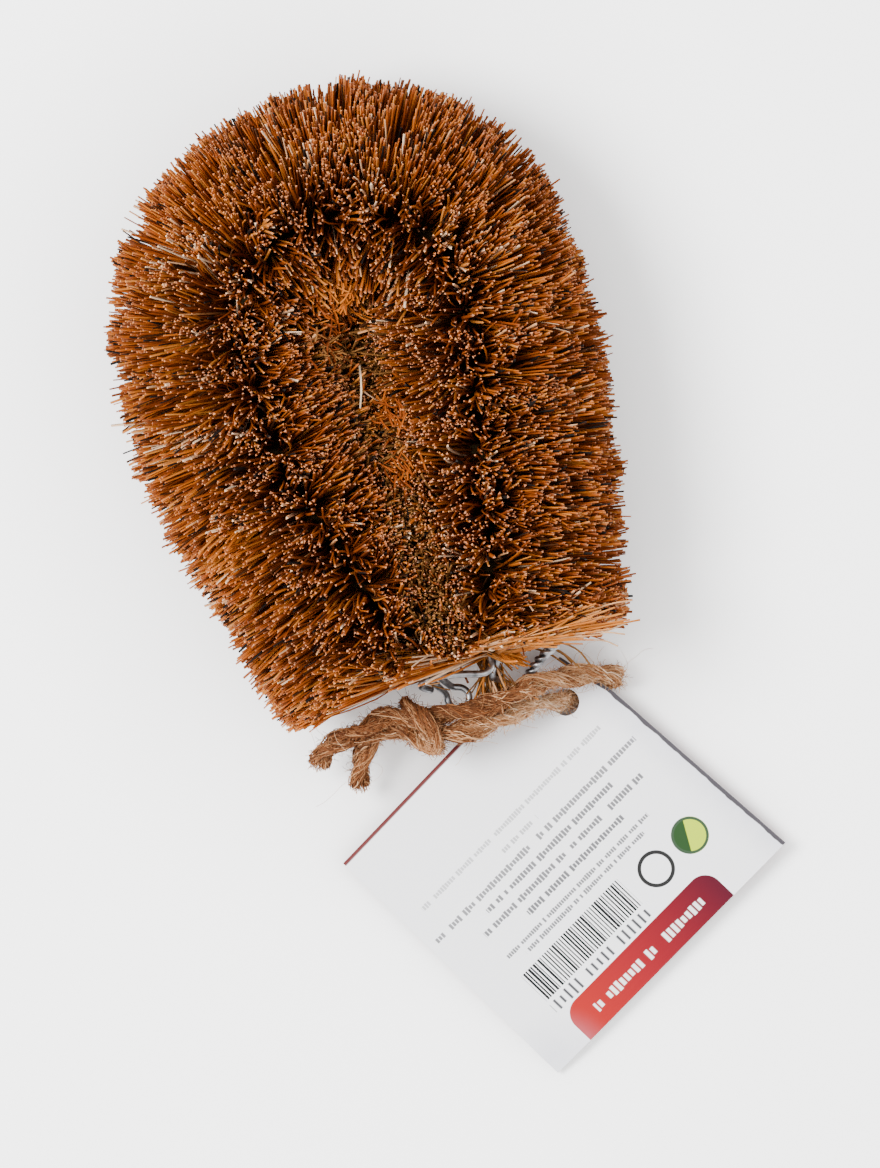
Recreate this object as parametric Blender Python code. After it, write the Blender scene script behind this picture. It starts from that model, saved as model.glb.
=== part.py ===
"""Coconut fibre dish brush with its twine and folded card tag.

A galvanised wire is folded on itself and twisted, with coir fibres locked between
its two plies all along. The bottle-brush rope that this makes is bent into a U
whose legs press together. The fold of the wire is a small eye past the end of the
left leg. One wire end crosses over its neck as a bar and hooks round it, and the
other dips under the twine. The twine is knotted beside the eye, and holds a
folded card tag by the hole near its fold.

Units are metres. +Z is up, the brush lies flat on Z = 0 with its bend towards +Y.
"""
import math

import bmesh
import bpy
from mathutils import Matrix, Vector

MM = 0.001

# Whole brush
BRISTLE_RADIUS = 23.6 * MM       # wire centre to the cut tips
FLAT_CUT = 0.5 * MM              # how deep the underside is worn flat
BACKING_RADIUS = 20.2 * MM       # packed coir that the free tips stand on
LEFT_FLARE = 3.0 * MM            # longer fibres at the foot of the left leg
RIGHT_FLARE = 1.4 * MM           # and of the right leg
SEAM_GAP = 0.3 * MM              # between slices, and between the two legs
CROWN_HOLE = 1.6 * MM            # slit left at the centre of the bend
MIN_STRAND = 2.0 * MM            # a shorter tip isn't made
TIP_SEAM_CLEARANCE = 0.9 * MM    # from a tip's middle to the seam

# Route of the stem, about the centre of its bend
BEND_CENTRE = Vector((-0.5 * MM, 14.0 * MM))
HALF_SPREAD = 20.6 * MM          # centre of the bend to a leg
CROWN_RISE = 21.6 * MM           # centre of the bend to the top of the stem
LEG_REACH = 63.0 * MM            # centre of the bend to the end of a leg
SEAM_SLANT = 8.1 * MM            # sideways run of the seam down to the legs' ends

# Stem wire
WIRE_DIAMETER = 1.3 * MM
PLY_CLEARANCE = 0.3 * MM         # between the two plies
TWIST_PITCH = 14.0 * MM
BORE_CLEARANCE = 0.35 * MM       # wire to packed coir
EYE_RADIUS = 2.1 * MM            # centreline of the eye
EYE_OFFSET = Vector((5.2 * MM, -6.1 * MM))
EYE_DROP = 5.3 * MM              # the eye lies this much lower than the stem
CLOSURE_SPAN = 12.8 * MM         # between the ends of the two legs

# Twine and its knot
TWINE_DIAMETER = 3.2 * MM
TWINE_STEP = 2.4 * MM            # distance between points along the twine
KNOT_HALF_LENGTH = 4.2 * MM
KNOT_HALF_WIDTH = 4.4 * MM
KNOT_HALF_HEIGHT = 3.4 * MM

# Folded card tag
CARD_THICKNESS = 0.35 * MM
LEAF_GAP = 0.3 * MM              # between the two leaves at the fold
CARD_LENGTH = 60.2 * MM          # along the fold
CARD_WIDTH = 55.0 * MM           # fold to the far edge
CARD_HEADING = math.radians(36.3)
CARD_TILT = math.radians(3.25)   # the twine lifts the tag's upper corner
REST_OPENING = math.radians(2.0)
TAG_HOLE_DIAMETER = 5.0 * MM
FOLD_TO_HOLE = 8.6 * MM
CORNER_TO_HOLE = 50.0 * MM       # along the fold, from the left corner
TAG_CORNER = Vector((-18.8 * MM, -82.6 * MM))

STEM_HEIGHT = BRISTLE_RADIUS - FLAT_CUT
PLY_OFFSET = (WIRE_DIAMETER + PLY_CLEARANCE) / 2
COLUMNS = 14                     # faces round a slice
LEG_SLICES = 3
LEG_RINGS = 4                    # rows of tips in a leg slice
CROWN_SLICES = 2
CROWN_RINGS = 6

# Stem route and the seam point that each place faces, from the left leg's end over
# the bend to the right leg's end: sideways share of HALF_SPREAD, lengthways share of
# LEG_REACH below the bend's centre or of CROWN_RISE above it, and the share of the
# seam's length at which the section plane meets the seam.
STEM_SHARES = (
    (0.121, -1.010, 0.986), (-0.189, -0.810, 0.735), (-0.471, -0.603, 0.506),
    (-0.748, -0.397, 0.294), (-0.927, -0.190, 0.129), (-0.985, 0.000, 0.0),
    (-0.859, 0.486, 0.0), (-0.500, 0.843, 0.0), (0.015, 1.000, 0.0),
    (0.529, 0.917, 0.0), (0.893, 0.556, 0.0), (1.015, 0.000, 0.0),
    (1.024, -0.190, 0.184), (0.985, -0.397, 0.371), (0.908, -0.603, 0.573),
    (0.811, -0.810, 0.787), (0.743, -1.000, 1.0),
)
LEFT_LEG_STEPS = 5               # rows of the table from a leg's end up to the bend
CROWN_STEPS = 6                  # and round the bend
LEFT_TOP = LEFT_LEG_STEPS
RIGHT_TOP = LEFT_LEG_STEPS + CROWN_STEPS

# Wire end that hooks round the eye's neck and crosses back as the bar, as shares of
# CLOSURE_SPAN from the left leg's end
BAR_SHARES = (
    (0.048, -0.295, -0.352), (-0.054, -0.255, -0.242), (-0.097, -0.203, -0.070),
    (-0.023, -0.156, 0.094), (0.109, -0.117, 0.119), (0.508, -0.141, 0.119),
    (0.828, -0.188, 0.102), (0.953, -0.125, 0.047),
)
# Wire end that passes under the bar and dips under the twine
CURL_SHARES = (
    (1.047, -0.055, -0.070), (0.938, -0.172, -0.121), (0.852, -0.273, -0.094),
    (0.954, -0.295, -0.250), (1.087, -0.341, -0.453), (1.220, -0.451, -0.562),
    (1.282, -0.568, -0.633),
)

# Centre of the knot and route of the twine, chosen by hand
KNOT_CENTRE = Vector((0.1 * MM, -59.2 * MM, 20.2 * MM))
TWINE_ROUTE = (
    (4.6, -61.6, 19.8), (8.8, -61.8, 19.1), (13.1, -61.1, 17.5), (17.4, -60.1, 15.1),
    (21.4, -59.4, 11.9), (24.7, -59.6, 8.6), (25.9, -59.8, 6.2), (26.3, -59.8, 4.3),
    (26.9, -59.8, 2.8), (28.4, -59.4, 1.9), (31.3, -58.8, 1.8), (34.2, -58.0, 1.8),
    (36.5, -57.3, 3.4), (36.7, -56.9, 5.6), (35.0, -56.3, 7.9), (31.6, -55.7, 10.2),
    (27.2, -55.5, 13.2), (23.6, -55.5, 16.0), (20.1, -55.9, 18.6), (16.8, -56.8, 20.2),
    (13.0, -57.9, 20.5), (8.8, -58.2, 20.5), (4.6, -58.1, 20.4),
)
LEFT_TAIL_ROUTE = (
    (-4.3, -57.2, 20.9), (-7.2, -56.8, 20.3), (-10.6, -58.2, 18.3), (-14.5, -59.4, 15.4),
    (-18.4, -60.4, 12.2), (-20.2, -63.2, 9.6),
)
LOWER_TAIL_ROUTE = (
    (-4.4, -59.7, 18.5), (-7.2, -59.0, 17.0), (-9.8, -60.3, 14.8), (-11.8, -62.6, 12.3),
    (-13.0, -65.3, 9.9), (-13.5, -68.3, 7.7),
)


def reset_scene():
    for item in list(bpy.data.objects):
        bpy.data.objects.remove(item, do_unlink=True)


def make_collection(name):
    group = bpy.data.collections.new(name)
    bpy.context.scene.collection.children.link(group)
    return group


def make_material(name, colour, roughness, metallic=0.0):
    material = bpy.data.materials.new(name)
    material.use_nodes = True
    shader = material.node_tree.nodes["Principled BSDF"]
    shader.inputs["Base Color"].default_value = (*colour, 1.0)
    shader.inputs["Roughness"].default_value = roughness
    shader.inputs["Metallic"].default_value = metallic
    return material


def add_object(group, name, data, material):
    item = bpy.data.objects.new(name, data)
    group.objects.link(item)
    data.materials.append(material)
    return item


def spline_point(points, place):
    """Point of the smooth curve through points, at a place counted in points."""
    last = len(points) - 1
    start = min(int(place), last - 1)
    t = place - start
    p1 = points[start]
    p2 = points[start + 1]
    p0 = points[start - 1] if start > 0 else p1 * 2 - p2
    p3 = points[start + 2] if start + 2 <= last else p2 * 2 - p1
    return (p1 * 2 + (p2 - p0) * t + (p0 * 2 - p1 * 5 + p2 * 4 - p3) * t ** 2
            + (p1 * 3 - p0 - p2 * 3 + p3) * t ** 3) / 2


def even_points(points, step):
    """Points a step apart along the smooth curve through the given ones."""
    fine = 24
    dense = [spline_point(points, i / fine) for i in range((len(points) - 1) * fine + 1)]
    run = [0.0]
    for here, there in zip(dense, dense[1:]):
        run.append(run[-1] + (there - here).length)
    count = max(2, round(run[-1] / step))
    result = []
    k = 0
    for i in range(count + 1):
        wanted = run[-1] * i / count
        while k < len(run) - 2 and run[k + 1] < wanted:
            k += 1
        share = (wanted - run[k]) / (run[k + 1] - run[k])
        result.append(dense[k].lerp(dense[k + 1], share))
    return result


def stem_points():
    route = []
    for side, along, _ in STEM_SHARES:
        reach = CROWN_RISE if along > 0 else LEG_REACH
        route.append(BEND_CENTRE + Vector((side * HALF_SPREAD, along * reach)))
    return route


def seam_point(place):
    last = len(STEM_SHARES) - 1
    start = min(int(place), last - 1)
    here = STEM_SHARES[start][2]
    share = here + (STEM_SHARES[start + 1][2] - here) * (place - start)
    return BEND_CENTRE + Vector((SEAM_SLANT, -LEG_REACH)) * share


def stem_frame(place):
    """Centre, outward direction and seam distance of the section at a place."""
    centre = spline_point(STEM_ROUTE, place)
    outward = centre - seam_point(place)
    distance = outward.length
    return centre, outward / distance, distance


def flare_at(place):
    last = len(STEM_SHARES) - 1
    left = max(0.0, 1.0 - place / LEFT_TOP)
    right = max(0.0, (place - RIGHT_TOP) / (last - RIGHT_TOP))
    return LEFT_FLARE * left + RIGHT_FLARE * right


def in_crown(place):
    return LEFT_TOP <= place <= RIGHT_TOP


def seam_limit(place, distance):
    hole = CROWN_HOLE if in_crown(place) else 0.0
    return distance - SEAM_GAP / 2 - hole


def tip_radius(place, angle, distance):
    outward = max(0.0, math.cos(angle))
    radius = BRISTLE_RADIUS + flare_at(place) * outward ** 2
    inward = -math.cos(angle)
    if inward > 0:
        radius = min(radius, (seam_limit(place, distance) - TIP_SEAM_CLEARANCE) / inward)
    return radius


def backing_radius(place, angle, distance):
    """Packed coir is lower where tips stand free, and fills up to the seam inside."""
    outward = max(0.0, math.cos(angle))
    inward = max(0.0, -math.cos(angle))
    packed = BACKING_RADIUS + (BRISTLE_RADIUS - BACKING_RADIUS) * inward ** 2
    packed += flare_at(place) * outward ** 2
    if inward > 0:
        packed = min(packed, seam_limit(place, distance) / inward)
    return packed


def section_point(centre, outward, angle, radius):
    side = centre + outward * (radius * math.cos(angle))
    return Vector((side.x, side.y, STEM_HEIGHT + radius * math.sin(angle)))


def ring_angles():
    return [math.tau * j / COLUMNS for j in range(COLUMNS)]


def loft_ring(mesh, place, shift):
    """Outer and bore corners of a section, its plane moved along the stem by shift."""
    centre, outward, distance = stem_frame(place)
    centre = centre + Vector((outward.y, -outward.x)) * shift
    outer = []
    for angle in ring_angles():
        radius = backing_radius(place, angle, distance)
        outer.append(mesh.verts.new(section_point(centre, outward, angle, radius)))
    bore = []
    half_angle = math.pi / (COLUMNS // 2)
    bore_radius = (PLY_OFFSET + WIRE_DIAMETER / 2 + BORE_CLEARANCE) / math.cos(half_angle)
    for j in range(COLUMNS // 2):
        angle = math.tau * (2 * j + 0.5) / COLUMNS
        bore.append(mesh.verts.new(section_point(centre, outward, angle, bore_radius)))
    return outer, bore


def close_end(mesh, outer, bore, flip):
    count = len(bore)
    for j in range(count):
        a, b, c = outer[2 * j], outer[2 * j + 1], outer[(2 * j + 2) % COLUMNS]
        p, q = bore[j], bore[(j + 1) % count]
        for face in ((a, b, p), (b, c, q, p)):
            mesh.faces.new(face[::-1] if flip else face)


def raise_strand(mesh, face, place, base_share, tip_share):
    """Turn one face of the backing into a strand that tapers to its cut tip."""
    centre, outward, distance = stem_frame(place)
    middle = face.calc_center_median()
    flat = Vector((middle.x, middle.y)) - centre
    angle = math.atan2(middle.z - STEM_HEIGHT, flat.dot(outward))
    reach = tip_radius(place, angle, distance)
    here = math.hypot(middle.z - STEM_HEIGHT, flat.dot(outward))
    if reach - here < MIN_STRAND:
        return
    tip = section_point(centre, outward, angle, reach)
    corners = [v.co.copy() for v in face.verts]
    bmesh.ops.inset_individual(mesh, faces=[face], thickness=MIN_STRAND / 2)
    for vert, corner in zip(face.verts, corners):
        vert.co = middle + (corner - middle) * base_share
    top = bmesh.ops.extrude_discrete_faces(mesh, faces=[face])["faces"][0]
    for vert in top.verts:
        spread = (vert.co - middle) * (tip_share / base_share)
        vert.co = tip + spread
        vert.co.z = max(vert.co.z, 0.0)


def add_slice(group, name, places, material):
    """One slice of the brush: packed coir round the stem with its cut tips."""
    mesh = bmesh.new()
    shifts = [0.0] * len(places)
    shifts[0] = SEAM_GAP / 2
    shifts[-1] = -SEAM_GAP / 2
    rings = [loft_ring(mesh, place, shift) for place, shift in zip(places, shifts)]
    rows = []
    for (outer, bore), (next_outer, next_bore) in zip(rings, rings[1:]):
        row = []
        for j in range(COLUMNS):
            k = (j + 1) % COLUMNS
            row.append(mesh.faces.new((outer[j], next_outer[j], next_outer[k], outer[k])))
        rows.append(row)
        for j in range(len(bore)):
            k = (j + 1) % len(bore)
            mesh.faces.new((bore[k], next_bore[k], next_bore[j], bore[j]))
    close_end(mesh, *rings[0], flip=False)
    close_end(mesh, *rings[-1], flip=True)
    strand_base_share = 0.44
    strand_tip_share = 0.20
    for row, here, there in zip(rows, places, places[1:]):
        for face in row:
            raise_strand(mesh, face, (here + there) / 2, strand_base_share, strand_tip_share)
    bmesh.ops.recalc_face_normals(mesh, faces=mesh.faces[:])
    data = bpy.data.meshes.new(name)
    mesh.to_mesh(data)
    mesh.free()
    return add_object(group, name, data, material)


def add_bristles(group, material):
    last = len(STEM_SHARES) - 1
    stretches = (
        ("bristles_left", 0, LEFT_TOP, LEG_SLICES, LEG_RINGS),
        ("bristles_crown", LEFT_TOP, RIGHT_TOP, CROWN_SLICES, CROWN_RINGS),
        ("bristles_right", RIGHT_TOP, last, LEG_SLICES, LEG_RINGS),
    )
    for name, start, end, slices, rings in stretches:
        for k in range(slices):
            first = start + (end - start) * k / slices
            second = start + (end - start) * (k + 1) / slices
            places = [first + (second - first) * i / rings for i in range(rings + 1)]
            add_slice(group, f"{name}_{k + 1}", places, material)


def ply_points(sign):
    """One ply of the twisted pair, from the left leg's end to the right leg's."""
    steps_a_turn = 6
    fine = 40
    last = len(STEM_SHARES) - 1
    places = [last * i / (last * fine) for i in range(last * fine + 1)]
    centres = [spline_point(STEM_ROUTE, place) for place in places]
    run = [0.0]
    for here, there in zip(centres, centres[1:]):
        run.append(run[-1] + (there - here).length)
    turns = round(run[-1] / TWIST_PITCH)
    points = []
    k = 0
    for i in range(turns * steps_a_turn + 1):
        wanted = run[-1] * i / (turns * steps_a_turn)
        while k < len(run) - 2 and run[k + 1] < wanted:
            k += 1
        share = (wanted - run[k]) / (run[k + 1] - run[k])
        centre, outward, _ = stem_frame(places[k] + (places[k + 1] - places[k]) * share)
        phase = math.tau * i / steps_a_turn
        flat = centre + outward * (sign * PLY_OFFSET * math.cos(phase))
        height = STEM_HEIGHT + sign * PLY_OFFSET * math.sin(phase)
        points.append(Vector((flat.x, flat.y, height)))
    return points


def eye_points(left_end):
    """The fold of the wire: a ring, entered and left at its neck."""
    steps = 14
    centre = left_end + EYE_OFFSET
    neck = math.atan2(-EYE_OFFSET.y, -EYE_OFFSET.x)
    opening = math.asin(PLY_OFFSET / EYE_RADIUS)
    points = []
    for i in range(steps + 1):
        angle = neck - opening - (math.tau - 2 * opening) * i / steps
        points.append(Vector((centre.x + EYE_RADIUS * math.cos(angle),
                              centre.y + EYE_RADIUS * math.sin(angle),
                              STEM_HEIGHT - EYE_DROP)))
    return points


def closure_points(shares, left_end):
    base = Vector((left_end.x, left_end.y, STEM_HEIGHT))
    return [base + Vector(share) * CLOSURE_SPAN for share in shares]


def add_tube(group, name, points, diameter, round_steps, material):
    data = bpy.data.curves.new(name, "CURVE")
    data.dimensions = "3D"
    data.bevel_depth = diameter / 2
    data.bevel_resolution = round_steps
    data.use_fill_caps = True
    line = data.splines.new("POLY")
    line.points.add(len(points) - 1)
    for slot, point in zip(line.points, points):
        slot.co = (*point, 1.0)
    return add_object(group, name, data, material)


def add_wire(group, material):
    """The one wire: hook and bar, ply, eye, ply back again, and the curl."""
    bend_step = WIRE_DIAMETER
    round_steps = 1
    left_end = STEM_ROUTE[0]
    inner = ply_points(-1)
    outer = ply_points(1)
    bar = even_points(closure_points(BAR_SHARES, left_end) + [inner[-1]], bend_step)
    curl = even_points([outer[-1]] + closure_points(CURL_SHARES, left_end), bend_step)
    eye = eye_points(left_end)
    route = bar[:-1] + inner[::-1] + eye + outer + curl[1:]
    add_tube(group, "core_wire", route, WIRE_DIAMETER, round_steps, material)


def route_in_mm(route):
    return [Vector(point) * MM for point in route]


def add_twine(group, material):
    round_steps = 2
    for name, route in (("twine_loop", TWINE_ROUTE), ("twine_tail_left", LEFT_TAIL_ROUTE),
                        ("twine_tail_lower", LOWER_TAIL_ROUTE)):
        points = even_points(route_in_mm(route), TWINE_STEP)
        add_tube(group, name, points, TWINE_DIAMETER, round_steps, material)
    bpy.ops.mesh.primitive_uv_sphere_add(segments=16, ring_count=10, radius=1.0)
    knot = bpy.context.object
    knot.name = "twine_knot"
    knot.data.name = "twine_knot"
    size = (KNOT_HALF_LENGTH, KNOT_HALF_WIDTH, KNOT_HALF_HEIGHT, 1.0)
    knot.data.transform(Matrix.Diagonal(size))
    knot.data.shade_smooth()
    knot.location = KNOT_CENTRE
    knot.data.materials.append(material)
    for owner in list(knot.users_collection):
        owner.objects.unlink(knot)
    group.objects.link(knot)


def card_outline():
    """Corners of a leaf, X along the fold and Y towards the far edge, from the left
    corner. The free corner by the hole is nipped in where the twine pulls on it."""
    shares = ((0.0, 0.0), (-0.010, -1.0), (0.985, -1.015), (0.955, -0.245), (0.912, 0.0))
    return [(x * CARD_LENGTH, y * CARD_WIDTH) for x, y in shares]


def add_leaf(group, name, material):
    hole_steps = 24
    data = bpy.data.curves.new(name, "CURVE")
    data.dimensions = "2D"
    data.fill_mode = "BOTH"
    data.extrude = CARD_THICKNESS / 2
    outline = card_outline()
    hole = []
    for i in range(hole_steps):
        angle = math.tau * i / hole_steps
        hole.append((CORNER_TO_HOLE + TAG_HOLE_DIAMETER / 2 * math.cos(angle),
                     -FOLD_TO_HOLE + TAG_HOLE_DIAMETER / 2 * math.sin(angle)))
    for corners in (outline, hole):
        line = data.splines.new("POLY")
        line.points.add(len(corners) - 1)
        for slot, corner in zip(line.points, corners):
            slot.co = (*corner, 0.0, 1.0)
        line.use_cyclic_u = True
    return add_object(group, name, data, material)


def add_tag(group, material):
    """Two leaves that share a fold. An empty on the fold line carries both."""
    tilt = Matrix.Rotation(CARD_TILT, 4, "X")
    heading = Matrix.Rotation(CARD_HEADING, 4, "Z")
    lowest = min((tilt @ heading @ Vector((x, y, 0.0))).z for x, y in card_outline())
    back_to_fold = CARD_THICKNESS + LEAF_GAP / 2
    height = back_to_fold / math.cos(CARD_TILT) - lowest
    fold = bpy.data.objects.new("tag_fold_line", None)
    group.objects.link(fold)
    place = Matrix.Translation((TAG_CORNER.x, TAG_CORNER.y, height))
    fold.matrix_world = place @ tilt @ heading
    step = LEAF_GAP / 2 + CARD_THICKNESS / 2
    back = add_leaf(group, "tag_back_leaf", material)
    back.parent = fold
    back.location = (0.0, 0.0, -step)
    front = add_leaf(group, "tag_front_leaf", material)
    front.parent = fold
    opened = Matrix.Rotation(-REST_OPENING, 4, "X")
    front.matrix_basis = opened @ Matrix.Translation((0.0, 0.0, step))


STEM_ROUTE = stem_points()


def build():
    reset_scene()
    group = make_collection("coconut_fibre_dish_brush")
    coir = make_material("coir", (0.34, 0.13, 0.035), 0.85)
    zinc = make_material("galvanised_wire", (0.62, 0.62, 0.60), 0.35, 1.0)
    jute = make_material("jute_twine", (0.42, 0.26, 0.13), 0.9)
    card = make_material("white_card", (0.88, 0.88, 0.88), 0.6)
    add_wire(group, zinc)
    add_bristles(group, coir)
    add_twine(group, jute)
    add_tag(group, card)


build()
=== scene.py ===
"""Coconut fibre dish brush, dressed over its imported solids.

Coir fibres stand round a twisted wire that is bent into a U, a jute twine is knotted
at the eye of the wire, and the twine carries a folded card tag.

Units are metres and +Z is up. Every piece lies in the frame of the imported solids.
"""
import math

import bmesh
import bpy
import numpy as np
from mathutils import Matrix, Vector


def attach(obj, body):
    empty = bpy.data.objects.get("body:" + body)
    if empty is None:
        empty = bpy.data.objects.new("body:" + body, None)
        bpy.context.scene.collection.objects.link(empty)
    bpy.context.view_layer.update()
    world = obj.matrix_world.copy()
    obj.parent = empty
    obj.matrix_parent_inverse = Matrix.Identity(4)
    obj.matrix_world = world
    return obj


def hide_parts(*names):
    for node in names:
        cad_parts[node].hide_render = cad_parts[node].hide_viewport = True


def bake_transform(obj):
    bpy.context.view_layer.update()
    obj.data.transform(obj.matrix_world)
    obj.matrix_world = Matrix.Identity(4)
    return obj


MM = 0.001

# Seeds of the random draws
COIR_SEED = 11
SLICE_SEED = 100                 # of the slice before the first
TWINE_SEED = 21
ROOT_SEED = 31
STRAW_SEED = 41
MAT_SEED = 43
WISP_SEED = 47

# The photograph: its scale, what its middle looks at, and how the camera is rolled
PHOTO_PIXELS = (880, 1168)
PIXEL_SIZE = 0.185 * MM
VIEW_MIDDLE = (7.5 * MM, -34.5 * MM)
VIEW_ROLL = math.radians(-10.0)
VIEW_DISTANCE = 2.5
VIEW_ACROSS = np.array((math.cos(VIEW_ROLL), math.sin(VIEW_ROLL)))
VIEW_UP = np.array((-math.sin(VIEW_ROLL), math.cos(VIEW_ROLL)))

# Studio, with each light's name, place, size and power
FLOOR_RADIUS = 6.0
CONTACT_REACH = 45.0 * MM        # of the shade that things lay on the floor
LIGHTS = (
    ("key_light", (-0.52, 0.16, 0.97), 0.50, 30.0), ("fill_light", (0.5, -0.5, 1.1), 1.2, 8.0),
)
LIGHT_TARGET = (0.0, 0.0, 0.02)
SKY_STRENGTH = 1.05

# Stem of the brush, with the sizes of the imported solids
BRISTLE_RADIUS = 23.6 * MM
FLAT_CUT = 0.5 * MM
STEM_HEIGHT = BRISTLE_RADIUS - FLAT_CUT
LEFT_FLARE = 3.0 * MM
RIGHT_FLARE = 1.4 * MM
BEND_CENTRE = (-0.5 * MM, 14.0 * MM)
HALF_SPREAD = 20.6 * MM
CROWN_RISE = 21.6 * MM
LEG_REACH = 63.0 * MM
SEAM_SLANT = 8.1 * MM
STEM_SHARES = (
    (0.121, -1.010, 0.986), (-0.189, -0.810, 0.735), (-0.471, -0.603, 0.506),
    (-0.748, -0.397, 0.294), (-0.927, -0.190, 0.129), (-0.985, 0.000, 0.0),
    (-0.859, 0.486, 0.0), (-0.500, 0.843, 0.0), (0.015, 1.000, 0.0),
    (0.529, 0.917, 0.0), (0.893, 0.556, 0.0), (1.015, 0.000, 0.0),
    (1.024, -0.190, 0.184), (0.985, -0.397, 0.371), (0.908, -0.603, 0.573),
    (0.811, -0.810, 0.787), (0.743, -1.000, 1.0),
)
LEFT_TOP = 5
RIGHT_TOP = 11
LEG_SLICES = 3
CROWN_SLICES = 2

# Coir fibres
FIBRES_PER_MM = 215              # kept for each millimetre of stem, of twice as many drawn
LEAST_SHARE = 0.06               # of them kept inside the bend, where their tips crowd
FIBRE_RADIUS = 0.262 * MM
FIBRE_ROOT = 1.2 * MM            # from the middle of the stem
FIBRE_RING_SHARES = (0.0, 0.42, 0.68, 0.87, 1.0)
FIBRE_TAPER_SHARES = (1.0, 1.0, 0.97, 0.9, 0.8)
FIBRE_SIDES = 3
FIBRE_STEPS = 30                 # in which a fibre's line is grown
FIBRE_WAVE = 0.45 * MM
LENGTH_SPREAD = 0.018            # of the fibre's length
SHORT_SHARE = 0.26               # of the fibres, and what is left of their length
SHORT_LENGTHS = (0.78, 1.0)
LONG_SHARE = 0.010
LONG_LENGTHS = (1.02, 1.06)
TRIM_WAVE = 0.012                # of the length, in the trimming's broad waves
RADIUS_SPREAD = 0.22
RADIUS_LIMITS = (0.6, 1.6)
TRODDEN_HEIGHTS = (0.25, 0.75)   # millimetres, of the lowest fibres above the table
LEAN_SPREAD = math.radians(5.0)
BOW_SPREAD = math.radians(10.0)
SLIP_SPREAD = 1.2 * MM
FAN_SPREAD = math.radians(40.0)  # either side of the plane that the plies grip
SWAY_LEAN = math.radians(5.5)    # of a broad sweep of fibres
SWAY_SLIP = 1.3 * MM
TUFT_SIZE = 2.9 * MM             # tips this near to each other cling together
TUFT_PULL_SHARES = (0.20, 0.86)
TUFT_LEAN = math.radians(4.8)
TUFT_SLIP = 1.3 * MM
TUFT_GROWTH_SPREAD = 0.028
TUFT_TINT_SPREAD = 0.07
BLOT_SPREAD = math.radians(16.0)  # of the parting along the top and the underside
BLOT_SHARES = (0.20, 0.5, 0.75)  # of its fibres moved: the mean, the waves, the most
BLOT_TURNS = (0.12, 0.5)         # radians by which they move
FREE_REACH = 1.5 * BRISTLE_RADIUS  # of the level fibres, which nothing turns
SEAM_MARGIN = 7.0 * MM           # fibres turn up or down this far from the other leg
MARGIN_SHARE = 0.7               # or within this share of the way to it
MARGIN_SPREAD = (0.35, 1.0)
SEAM_MESH = 2.0 * MM             # and the two legs' fibres mesh by about this
MAT_WIDTH = 4.2 * MM             # of the matted fibres on either side of the seam
MAT_LEAN = 3.4 * MM              # how far their tips lie over, along and across it
MAT_CROSS = 1.6 * MM
MAT_SINK = 0.06                  # of their height
CROWN_SLIT = 0.2 * MM
CROWN_MESH = 0.9 * MM
CORE_RADIUS = 5.0 * MM           # matted roots that hide the wire
CORE_POINTS = 180
CORE_WANDER = 0.05               # of the roots' radius
CORE_INSET = 2.6 * MM            # from a leg's end
END_REACH = 6.0 * MM             # fibres this near a leg's end lie flatter and splay
END_EASE = 0.7                   # how this starts, under 1 for suddenly
END_CROWD_SHARE = 0.17           # of an end slice's fibres, crowded at its very end
END_CROWD_REACH = 1.4 * MM
END_FLAT_SHARE = 0.95            # of the end's fibres, laid out level by the last twist
END_FAN_SPREAD = math.radians(23.0)
LEFT_END_HANG_SHARE = 0.08       # of the level fibres' length, over the closure
RIGHT_END_HANG_SHARE = 0.15
END_SHY_SHARE = 0.06             # of the standing fibres' length, away from it
LEFT_END_RAKE_SHARE = 0.05       # back towards the bend, on each leg's outer side
RIGHT_END_RAKE_SHARE = 0.21
END_HOLD_SHARE = 0.72            # how far the end holds its fibres from slipping past it
LEFT_CORNER_TRIM = 0.07          # of the outer fibres' length, at each leg's end
RIGHT_CORNER_TRIM = 0.05
RIGHT_END_PALER = 0.11           # of the map, towards straw at the right leg's end,
PALER_TINTS = (0.6, 0.97)        # for the fibres from this tint, and at most to that
END_STRAY_SHARE = 0.002          # of the right end's fibres, which stand away from it
END_STRAY_HANG = (0.12, 0.38)

# By place and radius in the photograph's pixels: where the tips part and the dark shows,
# and where the fibres on top are golden, or dull and matted
PARTINGS = (
    (268, 268, 11), (290, 255, 7), (262, 305, 9), (225, 315, 7), (332, 228, 10), (350, 226, 8),
    (297, 205, 6), (385, 218, 8), (425, 205, 7), (440, 262, 7), (430, 287, 8), (441, 323, 8),
    (462, 315, 6), (450, 348, 6), (485, 363, 8), (475, 386, 9), (346, 346, 5), (350, 371, 6),
    (255, 383, 9), (343, 183, 6), (495, 262, 6), (510, 320, 6), (525, 362, 6), (235, 385, 7),
    (268, 428, 7), (250, 425, 6), (300, 420, 7), (273, 445, 6), (300, 450, 5), (280, 472, 9),
    (325, 502, 7), (311, 524, 9), (355, 549, 9), (310, 566, 8), (479, 420, 6), (465, 435, 6),
    (495, 427, 5), (478, 508, 9), (500, 512, 7), (470, 490, 6), (530, 493, 5), (352, 590, 7),
    (420, 610, 6), (365, 420, 4), (440, 490, 5), (485, 555, 5),
)
GOLDEN_PATCHES = ((345, 298, 19), (386, 410, 17), (402, 468, 11), (212, 200, 26), (225, 560, 24))
DULL_PATCHES = ((333, 352, 14), (370, 440, 13), (430, 610, 20))
PARTING_HEIGHT = 12.0 * MM       # above the stem's middle, where all this holds fully
PARTING_REACH = 3.5              # of a parting's radius, within which it pushes tips away
PARTING_SHADE = 0.6              # of the tint that a fibre loses in the middle of one, as painted shade in the hollow
GOLDEN_PATCH_SHARE = 0.85
GOLDEN_BAND = (0.66, 0.84)
DULL_PATCH_SHARE = 0.6
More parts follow.
